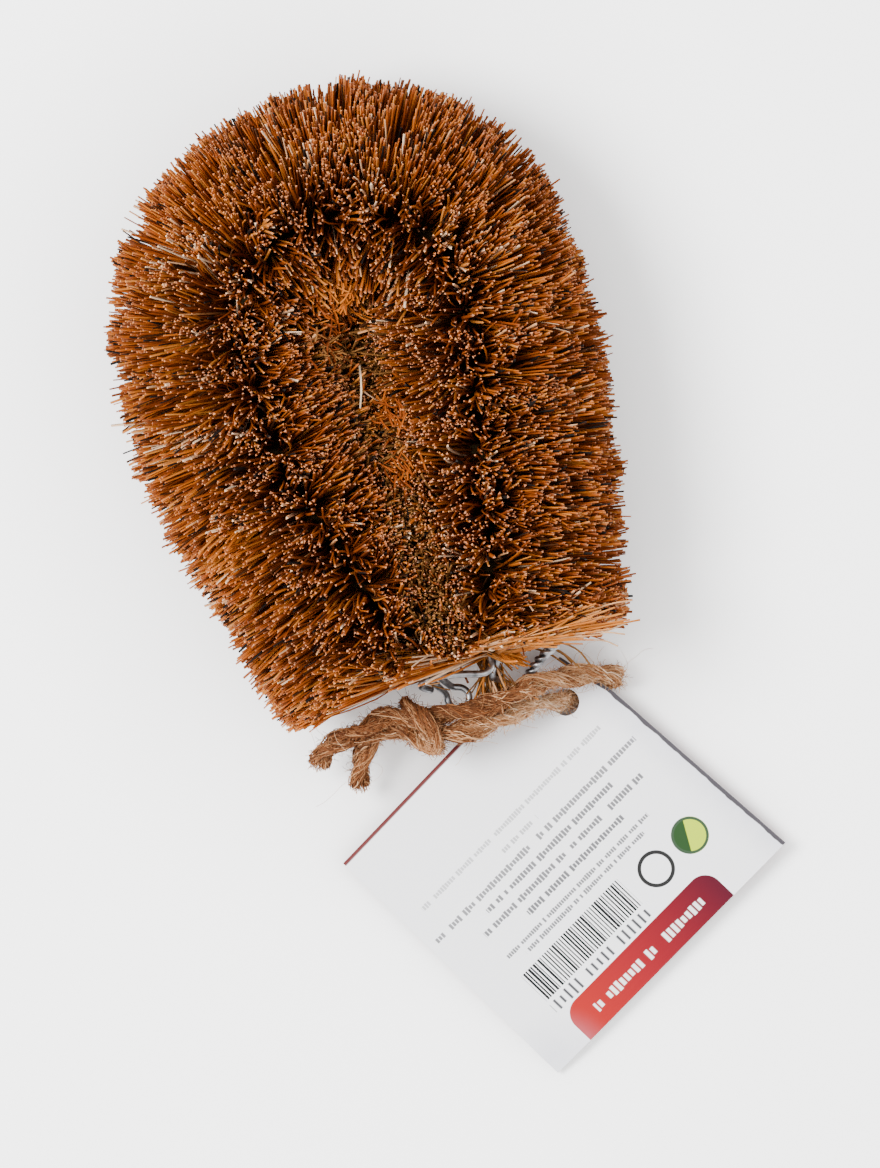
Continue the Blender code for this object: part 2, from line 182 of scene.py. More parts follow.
# Broad waves over the coir: their length, how many fit round the stem, and how many waves
RIPPLES = (
    ("lean", 6.0 * MM, 4, 16), ("slip", 6.5 * MM, 4, 16), ("trim", 9.0 * MM, 4, 12),
    ("patch", 12.0 * MM, 3, 12), ("blot", 9.0 * MM, 0, 12),
)
# Loose straws: points by their place in the photograph and their height in millimetres
GREY_STRAWS = (
    ((496, 650, 22), (535, 645, 20), (560, 651, 17), (580, 668, 15)),
    ((496, 650, 24), (545, 641, 22), (575, 648, 19), (592, 667, 16)),
    ((498, 648, 22), (530, 640, 18), (560, 652, 15), (572, 663, 14)),
    ((494, 652, 21), (520, 646, 18), (546, 652, 15), (566, 665, 13)),
    ((520, 640, 21), (547, 641, 18), (538, 658, 15), (526, 677, 13)),
    ((520, 638, 22), (551, 642, 18), (543, 660, 15), (532, 676, 13)),
    ((522, 636, 21), (554, 640, 17), (547, 654, 14), (538, 668, 12)),
    ((428, 668, 22), (420, 677, 22), (434, 686, 21), (450, 690, 20)),
)
PALE_STRAWS = (
    ((500, 640, 36), (560, 622, 38), (606, 605, 38), (632, 600, 37)),
    ((500, 642, 40), (550, 636, 42), (600, 632, 41), (625, 634, 39)),
    ((505, 645, 34), (555, 641, 36), (600, 640, 35), (618, 646, 33)),
    ((500, 644, 33), (550, 642, 34), (596, 634, 34), (628, 622, 33)),
    ((428, 666, 25), (416, 674, 24), (426, 684, 23), (440, 683, 22)),
)
SEAM_STRAW = ((360, 366, 41), (361, 376, 45.3), (361.5, 392, 45.9), (360.5, 408, 41))
GREY_TINTS = (0.13, 0.17)
PALE_TINTS = (0.88, 0.97)
SEAM_TINT = 0.99
STRAW_RADII = (0.75, 1.0)
STRAW_TAPER = 0.2
# Wisps at the right leg's end, placed as the straws are: how many, where from, where to,
# how far astray at either end, and tints
END_WISPS = (
    (80, (494, 650, 21), (519, 656, 20), (4, 3, 2.5), (7, 6, 2.5), (0.72, 0.88)),
    (46, (487, 660, 20), (496, 698, 17), (5, 3, 2.0), (12, 5, 1.5), (0.12, 0.17)),
    (30, (489, 660, 20), (497, 698, 17), (5, 3, 2.0), (12, 5, 1.5), (0.80, 0.94)),
    (60, (500, 645, 41), (560, 629, 42), (12, 3, 2.0), (18, 7, 2.0), (0.78, 0.94)),
    (44, (510, 641, 41), (592, 620, 40), (10, 3, 2.0), (20, 7, 2.0), (0.72, 0.91)),
)
WISP_BEND = 1.2                  # of their middles, in pixels and millimetres
WISP_RADII = (0.55, 1.0)
WISP_ALONG = (0.2, 0.9)
# Felted patches along the seam, in the photograph's pixels: place, radius and tints
MATS = (
    (348, 296, 11, (0.52, 0.80)), (338, 322, 13, (0.22, 0.50)), (386, 410, 14, (0.34, 0.66)),
    (402, 468, 12, (0.30, 0.62)), (330, 352, 11, (0.13, 0.26)),
)
MAT_FIBRES = 64
MAT_LENGTH = 4.4 * MM
MAT_HEADING = math.radians(-70.0)   # down the seam, as most of them lie
MAT_HEADING_SPREAD = math.radians(38.0)
MAT_RISE = 0.16                  # of their heading, up or down
MAT_LENGTHS = (0.45, 1.0)
MAT_RADII = (0.6, 1.0)
MAT_BEND = 0.3 * MM
MAT_POINTS = (-1.0, -0.4, 0.3, 1.0)  # shares of half their length
MAT_ALONG = (0.30, 0.75)         # the stretch of a whole fibre's map that they show

# Stem wire
WIRE_DIAMETER = 1.3 * MM
PLY_CLEARANCE = 0.3 * MM
PLY_OFFSET = (WIRE_DIAMETER + PLY_CLEARANCE) / 2
TWIST_PITCH = 14.0 * MM
EYE_RADIUS = 2.1 * MM
EYE_OFFSET = (5.2 * MM, -6.1 * MM)
EYE_DROP = 5.3 * MM
EYE_POINTS = 44
CLOSURE_SPAN = 12.8 * MM
WIRE_STEP = 0.4 * MM
WIRE_EASE = 6                    # passes that round the wire's corners
WIRE_ROUNDING = 4
TAIL_ROUNDING = 3
WELD_DISTANCE = 0.001 * MM
WIRE_SHARP = math.radians(50.0)  # a sharper edge than this stays sharp
BAR_SHARES = (
    (0.048, -0.295, -0.352), (-0.054, -0.255, -0.242), (-0.097, -0.203, -0.070),
    (-0.023, -0.156, 0.094), (0.109, -0.117, 0.119), (0.508, -0.141, 0.119),
    (0.828, -0.188, 0.102), (0.953, -0.125, 0.047),
)
CURL_SHARES = (
    (1.047, -0.055, -0.070), (0.970, -0.160, -0.121), (0.925, -0.240, -0.094),
    (0.985, -0.305, -0.250), (1.087, -0.355, -0.453), (1.200, -0.451, -0.562),
    (1.282, -0.568, -0.633),
)
# The wire's two ends, twisted together: points placed as the straws are
TAIL_ROUTE = ((556, 644, 22), (546, 653, 20.5), (534, 667, 18.5), (525, 682, 16.5), (519, 694, 15))
TAIL_PLY_DIAMETER = 1.0 * MM
TAIL_PITCH = 3.4 * MM
TAIL_STEP = 0.2 * MM

# Jute twine: its route in millimetres, and its make-up
LEFT_TAIL_ROUTE = (
    (-20.2, -63.2, 9.6), (-18.4, -60.4, 12.2), (-14.5, -59.4, 15.4), (-10.6, -58.2, 18.3),
    (-7.2, -56.8, 20.3), (-4.3, -57.2, 20.9),
)
THROUGH_KNOT_ROUTE = ((-1.0, -58.2, 20.8), (2.0, -58.3, 20.6))
TAG_LOOP_ROUTE = (
    (4.6, -58.1, 20.4), (8.8, -58.2, 20.5), (13.0, -57.9, 20.5), (16.8, -56.8, 20.2),
    (20.1, -55.9, 18.6), (23.6, -55.5, 16.0), (27.2, -55.5, 13.2), (31.6, -55.7, 10.2),
    (35.0, -56.3, 7.9), (36.7, -56.9, 5.6), (36.5, -57.3, 3.4), (34.2, -58.0, 1.8),
    (31.3, -58.8, 1.8), (28.4, -59.4, 1.9), (26.9, -59.8, 2.8), (26.3, -59.8, 4.3),
    (25.9, -59.8, 6.2), (24.7, -59.6, 8.6), (21.4, -59.4, 11.9), (17.4, -60.1, 15.1),
    (13.1, -61.1, 17.5), (8.8, -61.8, 19.1), (4.6, -61.6, 19.8),
)
KNOT_WRAP_ROUTE = (
    (2.6, -60.9, 18.6), (0.4, -59.2, 17.2), (-1.9, -56.9, 17.6), (-2.3, -55.3, 20.0),
    (-1.0, -56.6, 22.9), (0.6, -59.6, 23.6), (1.7, -62.6, 21.9), (1.2, -63.6, 19.3),
    (-0.9, -62.4, 17.4),
)
LOWER_TAIL_ROUTE = (
    (-4.4, -59.7, 18.5), (-7.2, -59.0, 17.0), (-9.8, -60.3, 14.8), (-11.8, -62.6, 12.3),
    (-13.0, -65.3, 9.9), (-13.5, -68.3, 7.7),
)
SHORT_END_ROUTE = ((0.5, -60.2, 20.9), (1.1, -61.6, 21.3), (1.6, -62.8, 21.0), (1.9, -63.8, 20.2))
# How full the twine is, and how its tint is lowered or raised, at shares of its length from the
# left tail: soiling, and painted shade where it lies under the brush by the knot
FULLNESS_SHARES = ((0.0, 0.10, 0.20, 0.30, 0.42, 0.56, 0.66, 0.72, 0.78, 0.84, 1.0),
                   (1.15, 1.08, 1.02, 1.20, 1.08, 0.80, 1.24, 1.06, 0.92, 0.96, 1.15))
SOIL_AND_SHADE_SHARES = (
    (0.0, 0.14, 0.20, 0.25, 0.30, 0.42, 0.54, 0.60, 0.65, 0.70, 0.76, 0.80, 0.835, 0.89, 1.0),
    (-0.34, -0.32, -0.44, -0.38, -0.06, 0.02, 0.26, 0.16, -0.18, -0.36, -0.44, -0.38, -0.04,
     -0.30, -0.34),
)
TWINE_DIAMETER = 3.2 * MM
TWINE_STEP = 1.25 * MM
YARN_OFFSET = 0.84 * MM
YARN_RADIUS = 1.02 * MM
YARN_PITCH = 20.0 * MM
JUTE_RADIUS = 0.088 * MM
JUTE_FIBRES = 98                 # drawn on each of the two yarns
STUB_FIBRES = 60                 # of the short end, on each yarn
STUB_FULLNESS = (0.9, 0.95)
JUTE_RADIUS_SPREAD = 0.3
JUTE_RADIUS_LIMITS = (0.5, 1.7)
YARN_SWAY = 0.13                 # of a fibre's depth in its yarn
YARN_SWAY_TURN = 0.45
YARN_SWAY_LENGTHS = (4.0 * MM, 14.0 * MM)
HAIR_RADIUS = 0.036 * MM
HAIR_ROOT_SHARE = 0.42           # of the twine's diameter, from its middle
HAIR_JITTER = 0.10
NAP_RADIUS = 1.25 * HAIR_RADIUS
# Hairs: how many, their length, how much they curl, how far they lean along, and points
NAP = (3800, 2.6 * MM, 1.2, 1.3, 7)
LONG_HAIRS = (70, 14.0 * MM, 0.9, 0.7, 12)
FRAY_RADIUS = 0.8 * JUTE_RADIUS
FRAY_ROOT_SHARE = 0.45           # of the twine's diameter, from its middle
FRAY_FIBRES = 230                # at each end
FRAY_LENGTH = 1.6 * MM
FRAY_SPREAD = 0.55
FRAY_BEND = 0.05
FRAY_JITTER = 0.07
FRAY_POINTS = 9
LOWEST_HAIR = 0.3 * MM

# Folded card tag
CARD_THICKNESS = 0.35 * MM
LEAF_GAP = 0.3 * MM
CARD_LENGTH = 60.2 * MM
CARD_WIDTH = 55.0 * MM
CARD_HEADING = math.radians(36.3)
CARD_TILT = math.radians(3.25)
REST_OPENING = math.radians(2.0)
TAG_HOLE_DIAMETER = 5.0 * MM
FOLD_TO_HOLE = 8.6 * MM
CORNER_TO_HOLE = 50.0 * MM
TAG_CORNER = (-18.8 * MM, -82.6 * MM)
LEAF_OUTLINE_SHARES = ((0.0, 0.0), (-0.010, -1.0), (0.985, -1.015), (0.955, -0.245), (0.912, 0.0))
BENT_CORNER = 15.0 * MM          # the front leaf's far left corner is bent down
CORNER_DROP = 1.3 * MM
LEAF_BOW = 0.35 * MM
CARD_COLUMNS = 60
LEAF_ROWS = 56
FOLD_ROWS = 8
HOLE_SIDES = 48
PUNCH_DEPTH = 12.0 * MM
CARD_SHARP = math.radians(40.0)


class Socket:
    """A value in a material that can be worked with like a number."""

    def __init__(self, finish, output):
        self.finish = finish
        self.output = output

    def maths(self, operation, *values):
        return self.finish.node("ShaderNodeMath", {"operation": operation},
                                dict(enumerate(values)))

    def __add__(self, other):
        return self.maths("ADD", self, other)

    def __radd__(self, other):
        return self.maths("ADD", other, self)

    def __sub__(self, other):
        return self.maths("SUBTRACT", self, other)

    def __rsub__(self, other):
        return self.maths("SUBTRACT", other, self)

    def __mul__(self, other):
        return self.maths("MULTIPLY", self, other)

    def __rmul__(self, other):
        return self.maths("MULTIPLY", other, self)

    def __truediv__(self, other):
        return self.maths("DIVIDE", self, other)

    def above(self, edge):
        return self.maths("GREATER_THAN", self, edge)

    def below(self, edge):
        return self.maths("LESS_THAN", self, edge)

    def larger(self, other):
        return self.maths("MAXIMUM", self, other)

    def smaller(self, other):
        return self.maths("MINIMUM", self, other)

    def size(self):
        return self.maths("ABSOLUTE", self)

    def whole(self):
        return self.maths("FLOOR", self)

    def power(self, exponent):
        return self.maths("POWER", self, exponent)

    def rise(self, low, high):
        """0 below low, 1 above high, and smooth between them."""
        return self.finish.node("ShaderNodeMapRange", {"interpolation_type": "SMOOTHSTEP"},
                                {"Value": self, "From Min": low, "From Max": high})


class Finish:
    """A material whose nodes are made by calls."""

    def __init__(self, name):
        self.material = bpy.data.materials.new(name)
        self.material.use_nodes = True
        self.tree = self.material.node_tree
        self.shader = self.tree.nodes["Principled BSDF"]

    def node(self, kind, settings=None, sockets=None, output=0):
        made = self.tree.nodes.new(kind)
        for name, value in (settings or {}).items():
            if name == "stops":
                set_stops(made.color_ramp, value)
            else:
                setattr(made, name, value)
        for key, value in (sockets or {}).items():
            self.join(value, made.inputs[key])
        return Socket(self, made.outputs[output])

    def join(self, value, target):
        if isinstance(value, Socket):
            self.tree.links.new(value.output, target)
        else:
            target.default_value = value

    def surface(self, **values):
        """Feed the shader, with underscores for the spaces in a socket's name."""
        for name, value in values.items():
            self.join(value, self.shader.inputs[name.replace("_", " ")])
        return self.material

    def mix(self, factor, first, second):
        return self.node("ShaderNodeMix", {"data_type": "RGBA", "blend_type": "MIX"},
                         {0: factor, 6: first, 7: second}, output=2)

    def vector(self, x, y):
        return self.node("ShaderNodeCombineXYZ", None, {0: x, 1: y, 2: 0.0})

    def own_map(self, name):
        """The two coordinates of a piece's own map."""
        place = self.node("ShaderNodeUVMap", {"uv_map": name})
        split = self.node("ShaderNodeSeparateXYZ", None, {0: place})
        return [Socket(self, output) for output in split.output.node.outputs[:2]]

    def place(self):
        return self.node("ShaderNodeTexCoord", output="Object")

    def chance(self, value):
        """A random number from 0 to 1 for each whole value."""
        return self.node("ShaderNodeTexWhiteNoise", {"noise_dimensions": "1D"}, {"W": value})

    def noise(self, vector, scale, detail=2.0, roughness=0.5):
        return self.node("ShaderNodeTexNoise", None, {
            "Vector": vector, "Scale": scale, "Detail": detail, "Roughness": roughness})

    def bump(self, height, distance):
        return self.node("ShaderNodeBump", None,
                         {"Height": height, "Distance": distance, "Strength": 1.0})


def colour(red, green, blue):
    return (red, green, blue, 1.0)


def set_stops(ramp, stops):
    while len(ramp.elements) < len(stops):
        ramp.elements.new(1.0)
    for element, (place, shade) in zip(ramp.elements, stops):
        element.position = place
        element.color = colour(*shade)


# A fibre's colour by its tint, which lies across its map, from near black to straw
COIR_STOPS = (
    (0.00, (0.024, 0.010, 0.004)), (0.08, (0.050, 0.016, 0.005)), (0.12, (0.140, 0.058, 0.014)),
    (0.17, (0.220, 0.096, 0.026)), (0.20, (0.110, 0.020, 0.002)), (0.45, (0.255, 0.049, 0.004)),
    (0.72, (0.410, 0.100, 0.007)), (0.88, (0.520, 0.185, 0.032)), (1.00, (0.800, 0.600, 0.400)),
)
# Tints that are drawn: from, to, and the share of the fibres
COIR_DRAWS = (
    (0.02, 0.08, 0.04), (0.20, 0.34, 0.22), (0.34, 0.59, 0.36), (0.60, 0.64, 0.05),
    (0.65, 0.80, 0.27), (0.80, 0.90, 0.05), (0.93, 0.98, 0.01),
)
RED_TINT = 0.2                   # the darkest of the brown fibres
PATCH_TINT = 0.06
OLIVE_BAND = (0.12, 0.17)
BLACK_TIP_BAND = (0.60, 0.64)
END_GOLDEN_BAND = (0.66, 0.90)
END_GOLDEN_SHARE = 0.75
END_STRAW_BAND = (0.90, 0.98)
END_STRAW_SHARE = 0.08
TINT_LIMITS = (0.02, 0.985)
TIP_SORTS = 900.0              # tints that differ in how pale a cut tip and its painted highlight are
JUTE_STOPS = (
    (0.00, (0.075, 0.020, 0.006)), (0.20, (0.220, 0.070, 0.020)), (0.50, (0.475, 0.232, 0.102)),
    (0.80, (0.700, 0.440, 0.250)), (1.00, (0.800, 0.590, 0.400)),
)
JUTE_TINT_SPREAD = 0.2
TWINE_TINT = 0.50
STUB_TINT = 0.45
FRAY_TINT = 0.28
NAP_TINT = 0.48
LONG_HAIR_TINT = 0.62
MAP_MARGIN = 0.008               # of a fibre's map, above its tip and below its root
TIP_ALONG = 0.9999               # of a fibre's length, past which lies only its cut end
STRIP_WIDTH = 0.004


def coir_finish():
    """Waxy brown fibre, with painted shade towards its root, a painted highlight near its tip, and
    a pale cut tip.
    """
    finish = Finish("coir_fibre")
    tint, along = finish.own_map("OFBake")
    shade = finish.node("ShaderNodeValToRGB", {"stops": COIR_STOPS}, {0: tint})
    streak = finish.noise(finish.vector(tint * 160.0, along * 5.0), 1.0, 3.0)
    shade = finish.mix((streak - 0.5).size() * 1.5, shade, colour(0.090, 0.020, 0.003))
    # painted shade: the fibre darkens towards its root, deep among the other fibres
    depth = 1.0 - along.rise(0.0, 0.80)
    shade = finish.mix(depth * 0.54, shade, colour(0.065, 0.014, 0.003))
    scorched = tint.above(BLACK_TIP_BAND[0]) * tint.below(BLACK_TIP_BAND[1])
    shade = finish.mix(scorched * along.rise(0.70, 0.85), shade, colour(0.012, 0.009, 0.008))
    tip_chance = finish.chance((tint * TIP_SORTS).whole())
    open_tip = tint.above(OLIVE_BAND[1]) * (1.0 - scorched)
    # painted highlight: a pale stretch just below the tip of some fibres
    painted_lighting = along.rise(0.92, 1.0) * tip_chance * tip_chance * open_tip
    shade = finish.mix(painted_lighting * 0.42, shade, colour(0.58, 0.27, 0.14))
    cut = along.above(1.0 - 1.5 * MAP_MARGIN) * open_tip
    shade = finish.mix(cut * (0.04 + tip_chance * tip_chance * 0.44), shade, colour(0.64, 0.34, 0.20))
    return finish.surface(Base_Color=shade, Roughness=0.50 + streak * 0.3,
                          Specular_IOR_Level=0.08)


def root_finish():
    """The mass that the fibres come out of, near black as painted shade deep in the brush."""
    finish = Finish("matted_coir")
    grain = finish.noise(finish.place(), 900.0, 4.0, 0.7)
    # painted shade: the roots are coloured near black
    shade = finish.mix(grain, colour(0.007, 0.007, 0.003), colour(0.045, 0.024, 0.008))
    return finish.surface(Base_Color=shade, Roughness=0.95, Specular_IOR_Level=0.1)


def zinc_finish():
    """Galvanised wire, dull where the zinc has clouded."""
    finish = Finish("galvanised_wire")
    place = finish.place()
    cloud = finish.noise(place, 420.0, 4.0, 0.6)
    scratch = finish.noise(place, 2600.0, 2.0)
    shade = finish.mix(cloud.rise(0.3, 0.7), colour(0.10, 0.10, 0.105), colour(0.46, 0.46, 0.47))
    return finish.surface(Base_Color=shade, Metallic=1.0,
                          Roughness=0.22 + cloud * 0.22 + scratch * 0.08,
                          Normal=finish.bump(scratch, 0.03 * MM))


def jute_finish():
    """Dry bast fibre, each strand with a shade of its own."""
    finish = Finish("jute_fibre")
    tint, along = finish.own_map("OFBake")
    shade = finish.node("ShaderNodeValToRGB", {"stops": JUTE_STOPS}, {0: tint})
    streak = finish.noise(finish.vector(tint * 120.0, along * 40.0), 1.0, 3.0)
    shade = finish.mix((streak - 0.42) * 1.3, shade, colour(0.20, 0.10, 0.05))
    return finish.surface(Base_Color=shade, Roughness=0.70 + streak * 0.2,
                          Specular_IOR_Level=0.12)


def spline_line(points, steps):
    """Points of the smooth curve through the given ones, steps to a span."""
    points = np.asarray(points, float)
    padded = np.vstack((2 * points[0] - points[1], points, 2 * points[-1] - points[-2]))
    t = (np.arange(steps) / steps)[:, None]
    spans = []
    for p0, p1, p2, p3 in zip(padded, padded[1:], padded[2:], padded[3:]):
        spans.append((p1 * 2 + (p2 - p0) * t + (p0 * 2 - p1 * 5 + p2 * 4 - p3) * t ** 2
                      + (p1 * 3 - p0 - p2 * 3 + p3) * t ** 3) / 2)
    return np.vstack(spans + [points[-1:]])


def run_along(line):
    return np.concatenate(([0.0], np.cumsum(np.linalg.norm(np.diff(line, axis=0), axis=1))))


def read_line(line, run, wanted):
    return np.stack([np.interp(wanted, run, line[:, k]) for k in range(line.shape[1])], axis=-1)


def even_line(points, step):
    """Points a step apart along the smooth curve through the given ones."""
    dense = spline_line(points, 24)
    run = run_along(dense)
    count = max(2, round(run[-1] / step))
    return read_line(dense, run, np.linspace(0.0, run[-1], count + 1))


def unit(vectors):
    return vectors / np.linalg.norm(vectors, axis=1)[:, None]


def line_frames(line):
    """Directions along and across a line, carried along it without twist."""
    forward = unit(np.gradient(line, axis=0))
    across = np.cross(forward[0], (0.0, 0.0, 1.0))
    rows = []
    for heading in forward:
        across = across - heading * across.dot(heading)
        across /= np.linalg.norm(across)
        rows.append(across)
    across = np.array(rows)
    return forward, across, np.cross(forward, across)


def spokes(across, over, turn):
    """Directions at an angle round a line, from its two across it."""
    return across * np.cos(turn)[:, None] + over * np.sin(turn)[:, None]


def half_turns(angle):
    """The same angles from half a turn back to half a turn on."""
    return (angle + math.pi) % math.tau - math.pi


def redraw(rng, values, share, band):
    """The values, with this share of them drawn again from a band."""
    chosen = rng.random(len(values)) < share
    return np.where(chosen, rng.uniform(*band, len(values)), values)


class Stem:
    """The middle line of the wire with the section plane at each place along it."""

    def __init__(self):
        shares = np.array(STEM_SHARES)
        reach = np.where(shares[:, 1] > 0, CROWN_RISE, LEG_REACH)
        route = np.array(BEND_CENTRE) + np.column_stack(
            (shares[:, 0] * HALF_SPREAD, shares[:, 1] * reach))
        last = len(shares) - 1
        self.centre = spline_line(route, 60)
        self.place = np.linspace(0, last, len(self.centre))
        seam_share = np.interp(self.place, np.arange(last + 1), shares[:, 2])
        seam = np.array(BEND_CENTRE) + seam_share[:, None] * np.array((SEAM_SLANT, -LEG_REACH))
        across = self.centre - seam
        self.gap = np.linalg.norm(across, axis=1)
        self.outward = across / self.gap[:, None]
        self.run = run_along(self.centre)
        self.forward = np.gradient(self.centre, self.run, axis=0)
        self.left_flare = np.clip(1.0 - self.place / LEFT_TOP, 0.0, 1.0) * LEFT_FLARE
        self.right_flare = (np.clip((self.place - RIGHT_TOP) / (last - RIGHT_TOP), 0.0, 1.0)
                            * RIGHT_FLARE)

    def run_at(self, place):
        return float(np.interp(place, self.place, self.run))

    def read(self, values, run):
        if values.ndim == 1:
            return np.interp(run, self.run, values)
        return read_line(values, self.run, run)


class Ripple:
    """A smooth random field over the run of the stem and the angle round it."""

    def __init__(self, rng, length, turns, waves):
        self.waves = list(zip(rng.normal(0.0, math.tau / length, waves),
                              rng.integers(-turns, turns + 1, waves),
                              rng.uniform(0.0, math.tau, waves)))

    def at(self, run, angle):
        total = sum(np.sin(a * run + b * angle + c) for a, b, c in self.waves)
        return total / math.sqrt(len(self.waves) / 2)


def draw_tints(rng, draws, count):
    shares = np.array([share for _, _, share in draws])
    group = rng.choice(len(draws), count, p=shares / shares.sum())
    low = np.array([low for low, _, _ in draws])[group]
    high = np.array([high for _, high, _ in draws])[group]
    return rng.uniform(low, high)


def tube_tree():
    """Nodes that turn drawn lines into tapered tubes with cut ends and a map of their
    own: the fibre's tint across the map, and its length from root to tip up it."""
    tree = bpy.data.node_groups.new("lines_to_fibres", "GeometryNodeTree")
    for name, kind in (("Lines", "NodeSocketGeometry"), ("Sides", "NodeSocketInt"),
                       ("Strip width", "NodeSocketFloat"), ("Finish", "NodeSocketMaterial")):
        tree.interface.new_socket(name, in_out="INPUT", socket_type=kind)
    tree.interface.new_socket("Fibres", in_out="OUTPUT", socket_type="NodeSocketGeometry")

    def node(kind, settings=None, sockets=None):
        made = tree.nodes.new(kind)
        for name, value in (settings or {}).items():
            setattr(made, name, value)
        for key, value in (sockets or {}).items():
            if isinstance(value, bpy.types.NodeSocket):
                tree.links.new(value, made.inputs[key])
            else:
                made.inputs[key].default_value = value
        return made.outputs[0] if len(made.outputs) else made

    def maths(operation, first, second):
        return node("ShaderNodeMath", {"operation": operation}, {0: first, 1: second})

    def named(name):
        return node("GeometryNodeInputNamedAttribute", {"data_type": "FLOAT"}, {"Name": name})

    given = tree.nodes.new("NodeGroupInput").outputs
    lines = node("GeometryNodeMeshToCurve", None, {"Mesh": given["Lines"]})
    ring = node("GeometryNodeCurvePrimitiveCircle", None,
                {"Resolution": given["Sides"], "Radius": 1.0})
    turn = maths("DIVIDE", node("GeometryNodeInputIndex"), given["Sides"])
    ring = node("GeometryNodeStoreNamedAttribute", {"data_type": "FLOAT", "domain": "POINT"},
                {"Geometry": ring, "Name": "turn", "Value": maths("MULTIPLY", turn, math.tau)})
    tubes = node("GeometryNodeCurveToMesh", None,
                 {"Curve": lines, "Profile Curve": ring, "Scale": named("thickness"),
                  "Fill Caps": True})
    shift = maths("MULTIPLY", node("ShaderNodeMath", {"operation": "COSINE"},
                                   {0: named("turn")}), given["Strip width"])
    lift = maths("MULTIPLY", node("ShaderNodeMath", {"operation": "SINE"},
                                  {0: named("turn")}), given["Strip width"])
    along = maths("ADD", maths("MULTIPLY", named("along"), 1.0 - 2 * MAP_MARGIN), MAP_MARGIN)
    place = node("ShaderNodeCombineXYZ", None,
                 {"X": maths("ADD", named("tint"), shift), "Y": maths("ADD", along, lift)})
    tubes = node("GeometryNodeStoreNamedAttribute",
                 {"data_type": "FLOAT2", "domain": "CORNER"},
                 {"Geometry": tubes, "Name": "OFBake", "Value": place})
    walls = node("FunctionNodeCompare", {"data_type": "FLOAT", "operation": "LESS_THAN"},
                 {"A": named("along"), "B": TIP_ALONG})
    tubes = node("GeometryNodeSetShadeSmooth", {"domain": "FACE"},
                 {"Geometry": tubes, "Shade Smooth": walls})
    tubes = node("GeometryNodeRealizeInstances", None, {"Geometry": tubes})
    tubes = node("GeometryNodeSetMaterial", None,
                 {"Geometry": tubes, "Material": given["Finish"]})
    target = tree.nodes.new("NodeGroupOutput")
    tree.links.new(tubes, target.inputs[0])
    return tree


def add_piece(name, data):
    piece = bpy.data.objects.new(name, data)
    bpy.context.scene.collection.objects.link(piece)
    return piece


def draw_lines(name, points, thickness, tint, along):
    """Bare edges in chains, one chain a fibre, with what each point carries."""
    count, rings = points.shape[:2]
    data = bpy.data.meshes.new(name)
    data.vertices.add(count * rings)
    data.vertices.foreach_set("co", points.astype(np.float32).ravel())
    first = (np.arange(count)[:, None] * rings + np.arange(rings - 1)).ravel()
    data.edges.add(len(first))
    data.edges.foreach_set("vertices", np.column_stack((first, first + 1)).ravel())
    for title, values in (("thickness", thickness), ("tint", tint), ("along", along)):
        layer = data.attributes.new(title, "FLOAT", "POINT")
        full = np.broadcast_to(values, (count, rings)).astype(np.float32)
        layer.data.foreach_set("value", full.ravel())
    return data


def plain_mesh(source):
    """What an object's modifiers or bevel make of it, as a mesh of its own."""
    evaluated = source.evaluated_get(bpy.context.evaluated_depsgraph_get())
    return bpy.data.meshes.new_from_object(evaluated)


def make_fibres(name, points, thickness, tint, along, finish):
    """A piece made of one tube for each line of points."""
    source = add_piece(name + "_lines", draw_lines(name, points, thickness, tint, along))
    modifier = source.modifiers.new("fibres", "NODES")
    modifier.node_group = FIBRE_NODES
    values = {"Sides": FIBRE_SIDES, "Strip width": STRIP_WIDTH, "Finish": finish}
    for item in FIBRE_NODES.interface.items_tree:
        if item.in_out == "INPUT" and item.name in values:
            modifier[item.identifier] = values[item.name]
    data = plain_mesh(source)
    lines = source.data
    bpy.data.objects.remove(source, do_unlink=True)
    bpy.data.meshes.remove(lines)
    data.name = name
    for title in ("thickness", "tint", "along", "turn"):
        if title in data.attributes:
            data.attributes.remove(data.attributes[title])
    return add_piece(name, data)


def add_tube(name, line, diameter, material, rounding):
    """A round bar along a line, welded into one closed mesh."""
    curve = bpy.data.curves.new(name, "CURVE")
    curve.dimensions = "3D"
    curve.bevel_depth = diameter / 2
    curve.bevel_resolution = rounding
    curve.use_fill_caps = True
    spline = curve.splines.new("POLY")
    spline.points.add(len(line) - 1)
    for slot, point in zip(spline.points, line):
        slot.co = (*point, 1.0)
    source = add_piece(name + "_line", curve)
    data = plain_mesh(source)
    bpy.data.objects.remove(source, do_unlink=True)
    mesh = bmesh.new()
    mesh.from_mesh(data)
    bmesh.ops.remove_doubles(mesh, verts=mesh.verts[:], dist=WELD_DISTANCE)
    bmesh.ops.recalc_face_normals(mesh, faces=mesh.faces[:])
    mesh.to_mesh(data)
    mesh.free()
    data.name = name
    data.shade_smooth()
    data.set_sharp_from_angle(angle=WIRE_SHARP)
    data.materials.append(material)
    return add_piece(name, data)


def join_pieces(name, pieces):
    """One piece from several that share a finish."""
    mesh = bmesh.new()
    for piece in pieces:
        mesh.from_mesh(piece.data)
    data = bpy.data.meshes.new(name)
    mesh.to_mesh(data)
    mesh.free()
    data.materials.append(pieces[0].data.materials[0])
    for piece in pieces:
        bpy.data.objects.remove(piece, do_unlink=True)
    return add_piece(name, data)


